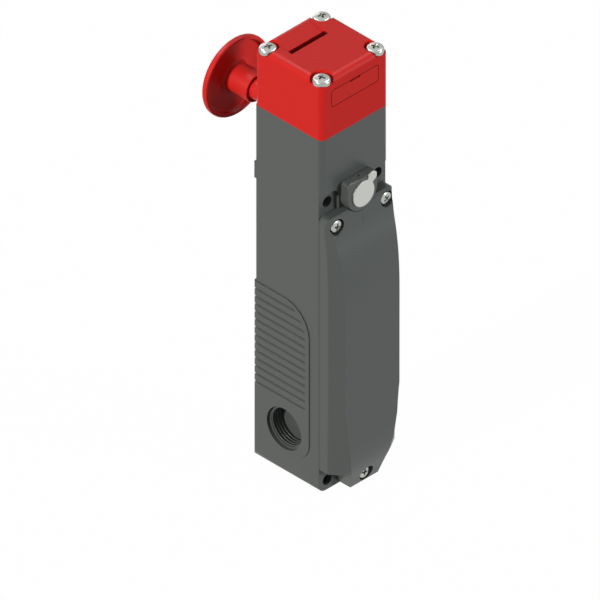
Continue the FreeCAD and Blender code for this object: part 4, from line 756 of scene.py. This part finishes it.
# the setting marks: ends of each line on the front, in mm
marks = {
    "upperMark": dict(x=5.05, low=81.8, high=83.5, onCover=False),
    "lowerMark": dict(x=0.0, low=56.8, high=61.3, onCover=True),
}
stroke = dict(width=0.3, proud=0.05, sunk=0.25)
for name, mark in marks.items():
    low, high = [Vector((mark["x"], frontPlane - (softened(coverOut, z) if mark["onCover"] else 0.0), z))
                 for z in (mark["low"], mark["high"])]
    upward = (high - low).normalized()
    outward = upward.cross(Vector((1, 0, 0))).normalized()
    outward = outward if outward.y < 0 else -outward
    corners = [(low + high) / 2 + Vector((across, 0, 0)) + outward * rise for across, rise in rectangle(
        -stroke["width"] / 2, stroke["width"] / 2, -stroke["sunk"], stroke["proud"])]
    bm = bmesh.new()
    prism(bm, corners, upward, (high - low).length / 2)
    strip = closedPiece(bm, name)
    strip.data.materials.append(finishes["sealGrey"])
    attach(strip, "casing")
print("marks set")

view = dict(azimuth=-45.0, elevation=35.264, target=(0.0, -7.6, -2.1), distance=900.0, scale=253.84)
angle, rise = math.radians(view["azimuth"]), math.radians(view["elevation"])
look = Vector((-math.sin(angle) * math.cos(rise), math.cos(angle) * math.cos(rise), -math.sin(rise)))
camera = link(bpy.data.objects.new("camera", bpy.data.cameras.new("camera")))
camera.data.type = "ORTHO"
camera.data.ortho_scale = view["scale"] * mm
camera.location = Vector(view["target"]) * mm - look * view["distance"] * mm
camera.rotation_euler = look.to_track_quat("-Z", "Y").to_euler()
scene.camera = camera

# direction is from the object towards the lamp; angle is its width in degrees
lamps = {
    "windowSide": dict(direction=(-1.0, 0.05, 0.43), strength=2.6, angle=6.0, colour=(1.0, 0.985, 0.93)),
    "frontKey": dict(direction=(0.5, -1.0, 0.2), strength=1.72, angle=12.0, colour=(0.95, 0.985, 1.0)),
    "backFill": dict(direction=(0.4, 1.0, 0.2), strength=0.68, angle=40.0),
    # these two only glint on the rounded edges round the tops
    "frontGlint": dict(direction=(0.577, -0.072, 0.813), strength=1.9, angle=14.0, glossyOnly=True),
    "sideGlint": dict(direction=(-0.072, 0.577, 0.813), strength=1.9, angle=14.0, glossyOnly=True),
}
for name, lamp in lamps.items():
    sun = link(bpy.data.objects.new(name, bpy.data.lights.new(name, "SUN")))
    sun.visible_diffuse = not lamp.get("glossyOnly", False)
    sun.data.color = lamp.get("colour", (1.0, 1.0, 1.0))
    sun.data.energy = lamp["strength"]
    sun.data.angle = math.radians(lamp["angle"])
    sun.rotation_euler = Vector(lamp["direction"]).to_track_quat("Z", "Y").to_euler()

world = bpy.data.worlds.new("studio")
scene.world = world
world.use_nodes = True
sky = world.node_tree
background = sky.nodes["Background"]
facing = add(sky, "ShaderNodeSeparateXYZ", [(0, add(sky, "ShaderNodeTexCoord").outputs["Generated"])])
# the sky's strength from its low height to its high one: open for reflections, dim for the soft fill
openSky = dict(low=-0.3, high=0.8, dark=0.55, light=0.9)
softSky = dict(low=-0.5, high=0.6, dark=0.06, light=0.25)
openLevel, softLevel = [
    add(sky, "ShaderNodeMapRange", [("Value", facing.outputs["Z"]), ("From Min", part["low"]),
                                    ("From Max", part["high"]), ("To Min", part["dark"]),
                                    ("To Max", part["light"])]).outputs[0]
    for part in (openSky, softSky)]
ray = add(sky, "ShaderNodeLightPath")
level = add(sky, "ShaderNodeMix", [("Factor", ray.outputs["Is Diffuse Ray"]), ("A", openLevel),
                                   ("B", softLevel)])
sky.links.new(level.outputs[0], background.inputs["Strength"])
background.inputs["Color"].default_value = (1, 1, 1, 1)

# a plain floor just under the part, in mm; seen straight or in a reflection it glows nearly white
floorSheet = dict(half=3000.0, drop=0.2, shade=0.86, roughness=0.9, glow=0.985)
bm = bmesh.new()
base = cadLow.z - floorSheet["drop"] * mm
half = floorSheet["half"] * mm
bm.faces.new([bm.verts.new((x, y, base)) for x, y in rectangle(-half, half, -half, half)])
floor = meshPiece(bm, "floor")
paper = bpy.data.materials.new("paper")
paper.use_nodes = True
tree = paper.node_tree
surface = tree.nodes["Principled BSDF"]
surface.inputs["Base Color"].default_value = (*[floorSheet["shade"]] * 3, 1)
surface.inputs["Roughness"].default_value = floorSheet["roughness"]
glow = add(tree, "ShaderNodeEmission", [("Strength", 1.0)])
rays = add(tree, "ShaderNodeLightPath")
seen = mathNode(tree, "MAXIMUM", rays.outputs["Is Camera Ray"], rays.outputs["Is Glossy Ray"])
blendIn = add(tree, "ShaderNodeMixShader", [(0, mathNode(tree, "MULTIPLY", seen, floorSheet["glow"])),
                                           (1, surface.outputs[0]), (2, glow.outputs[0])])
tree.links.new(blendIn.outputs[0], tree.nodes["Material Output"].inputs["Surface"])
floor.data.materials.append(paper)
floor.visible_diffuse = False
print("camera, lamps, sky and floor set")

scene.view_settings.view_transform = "Standard"
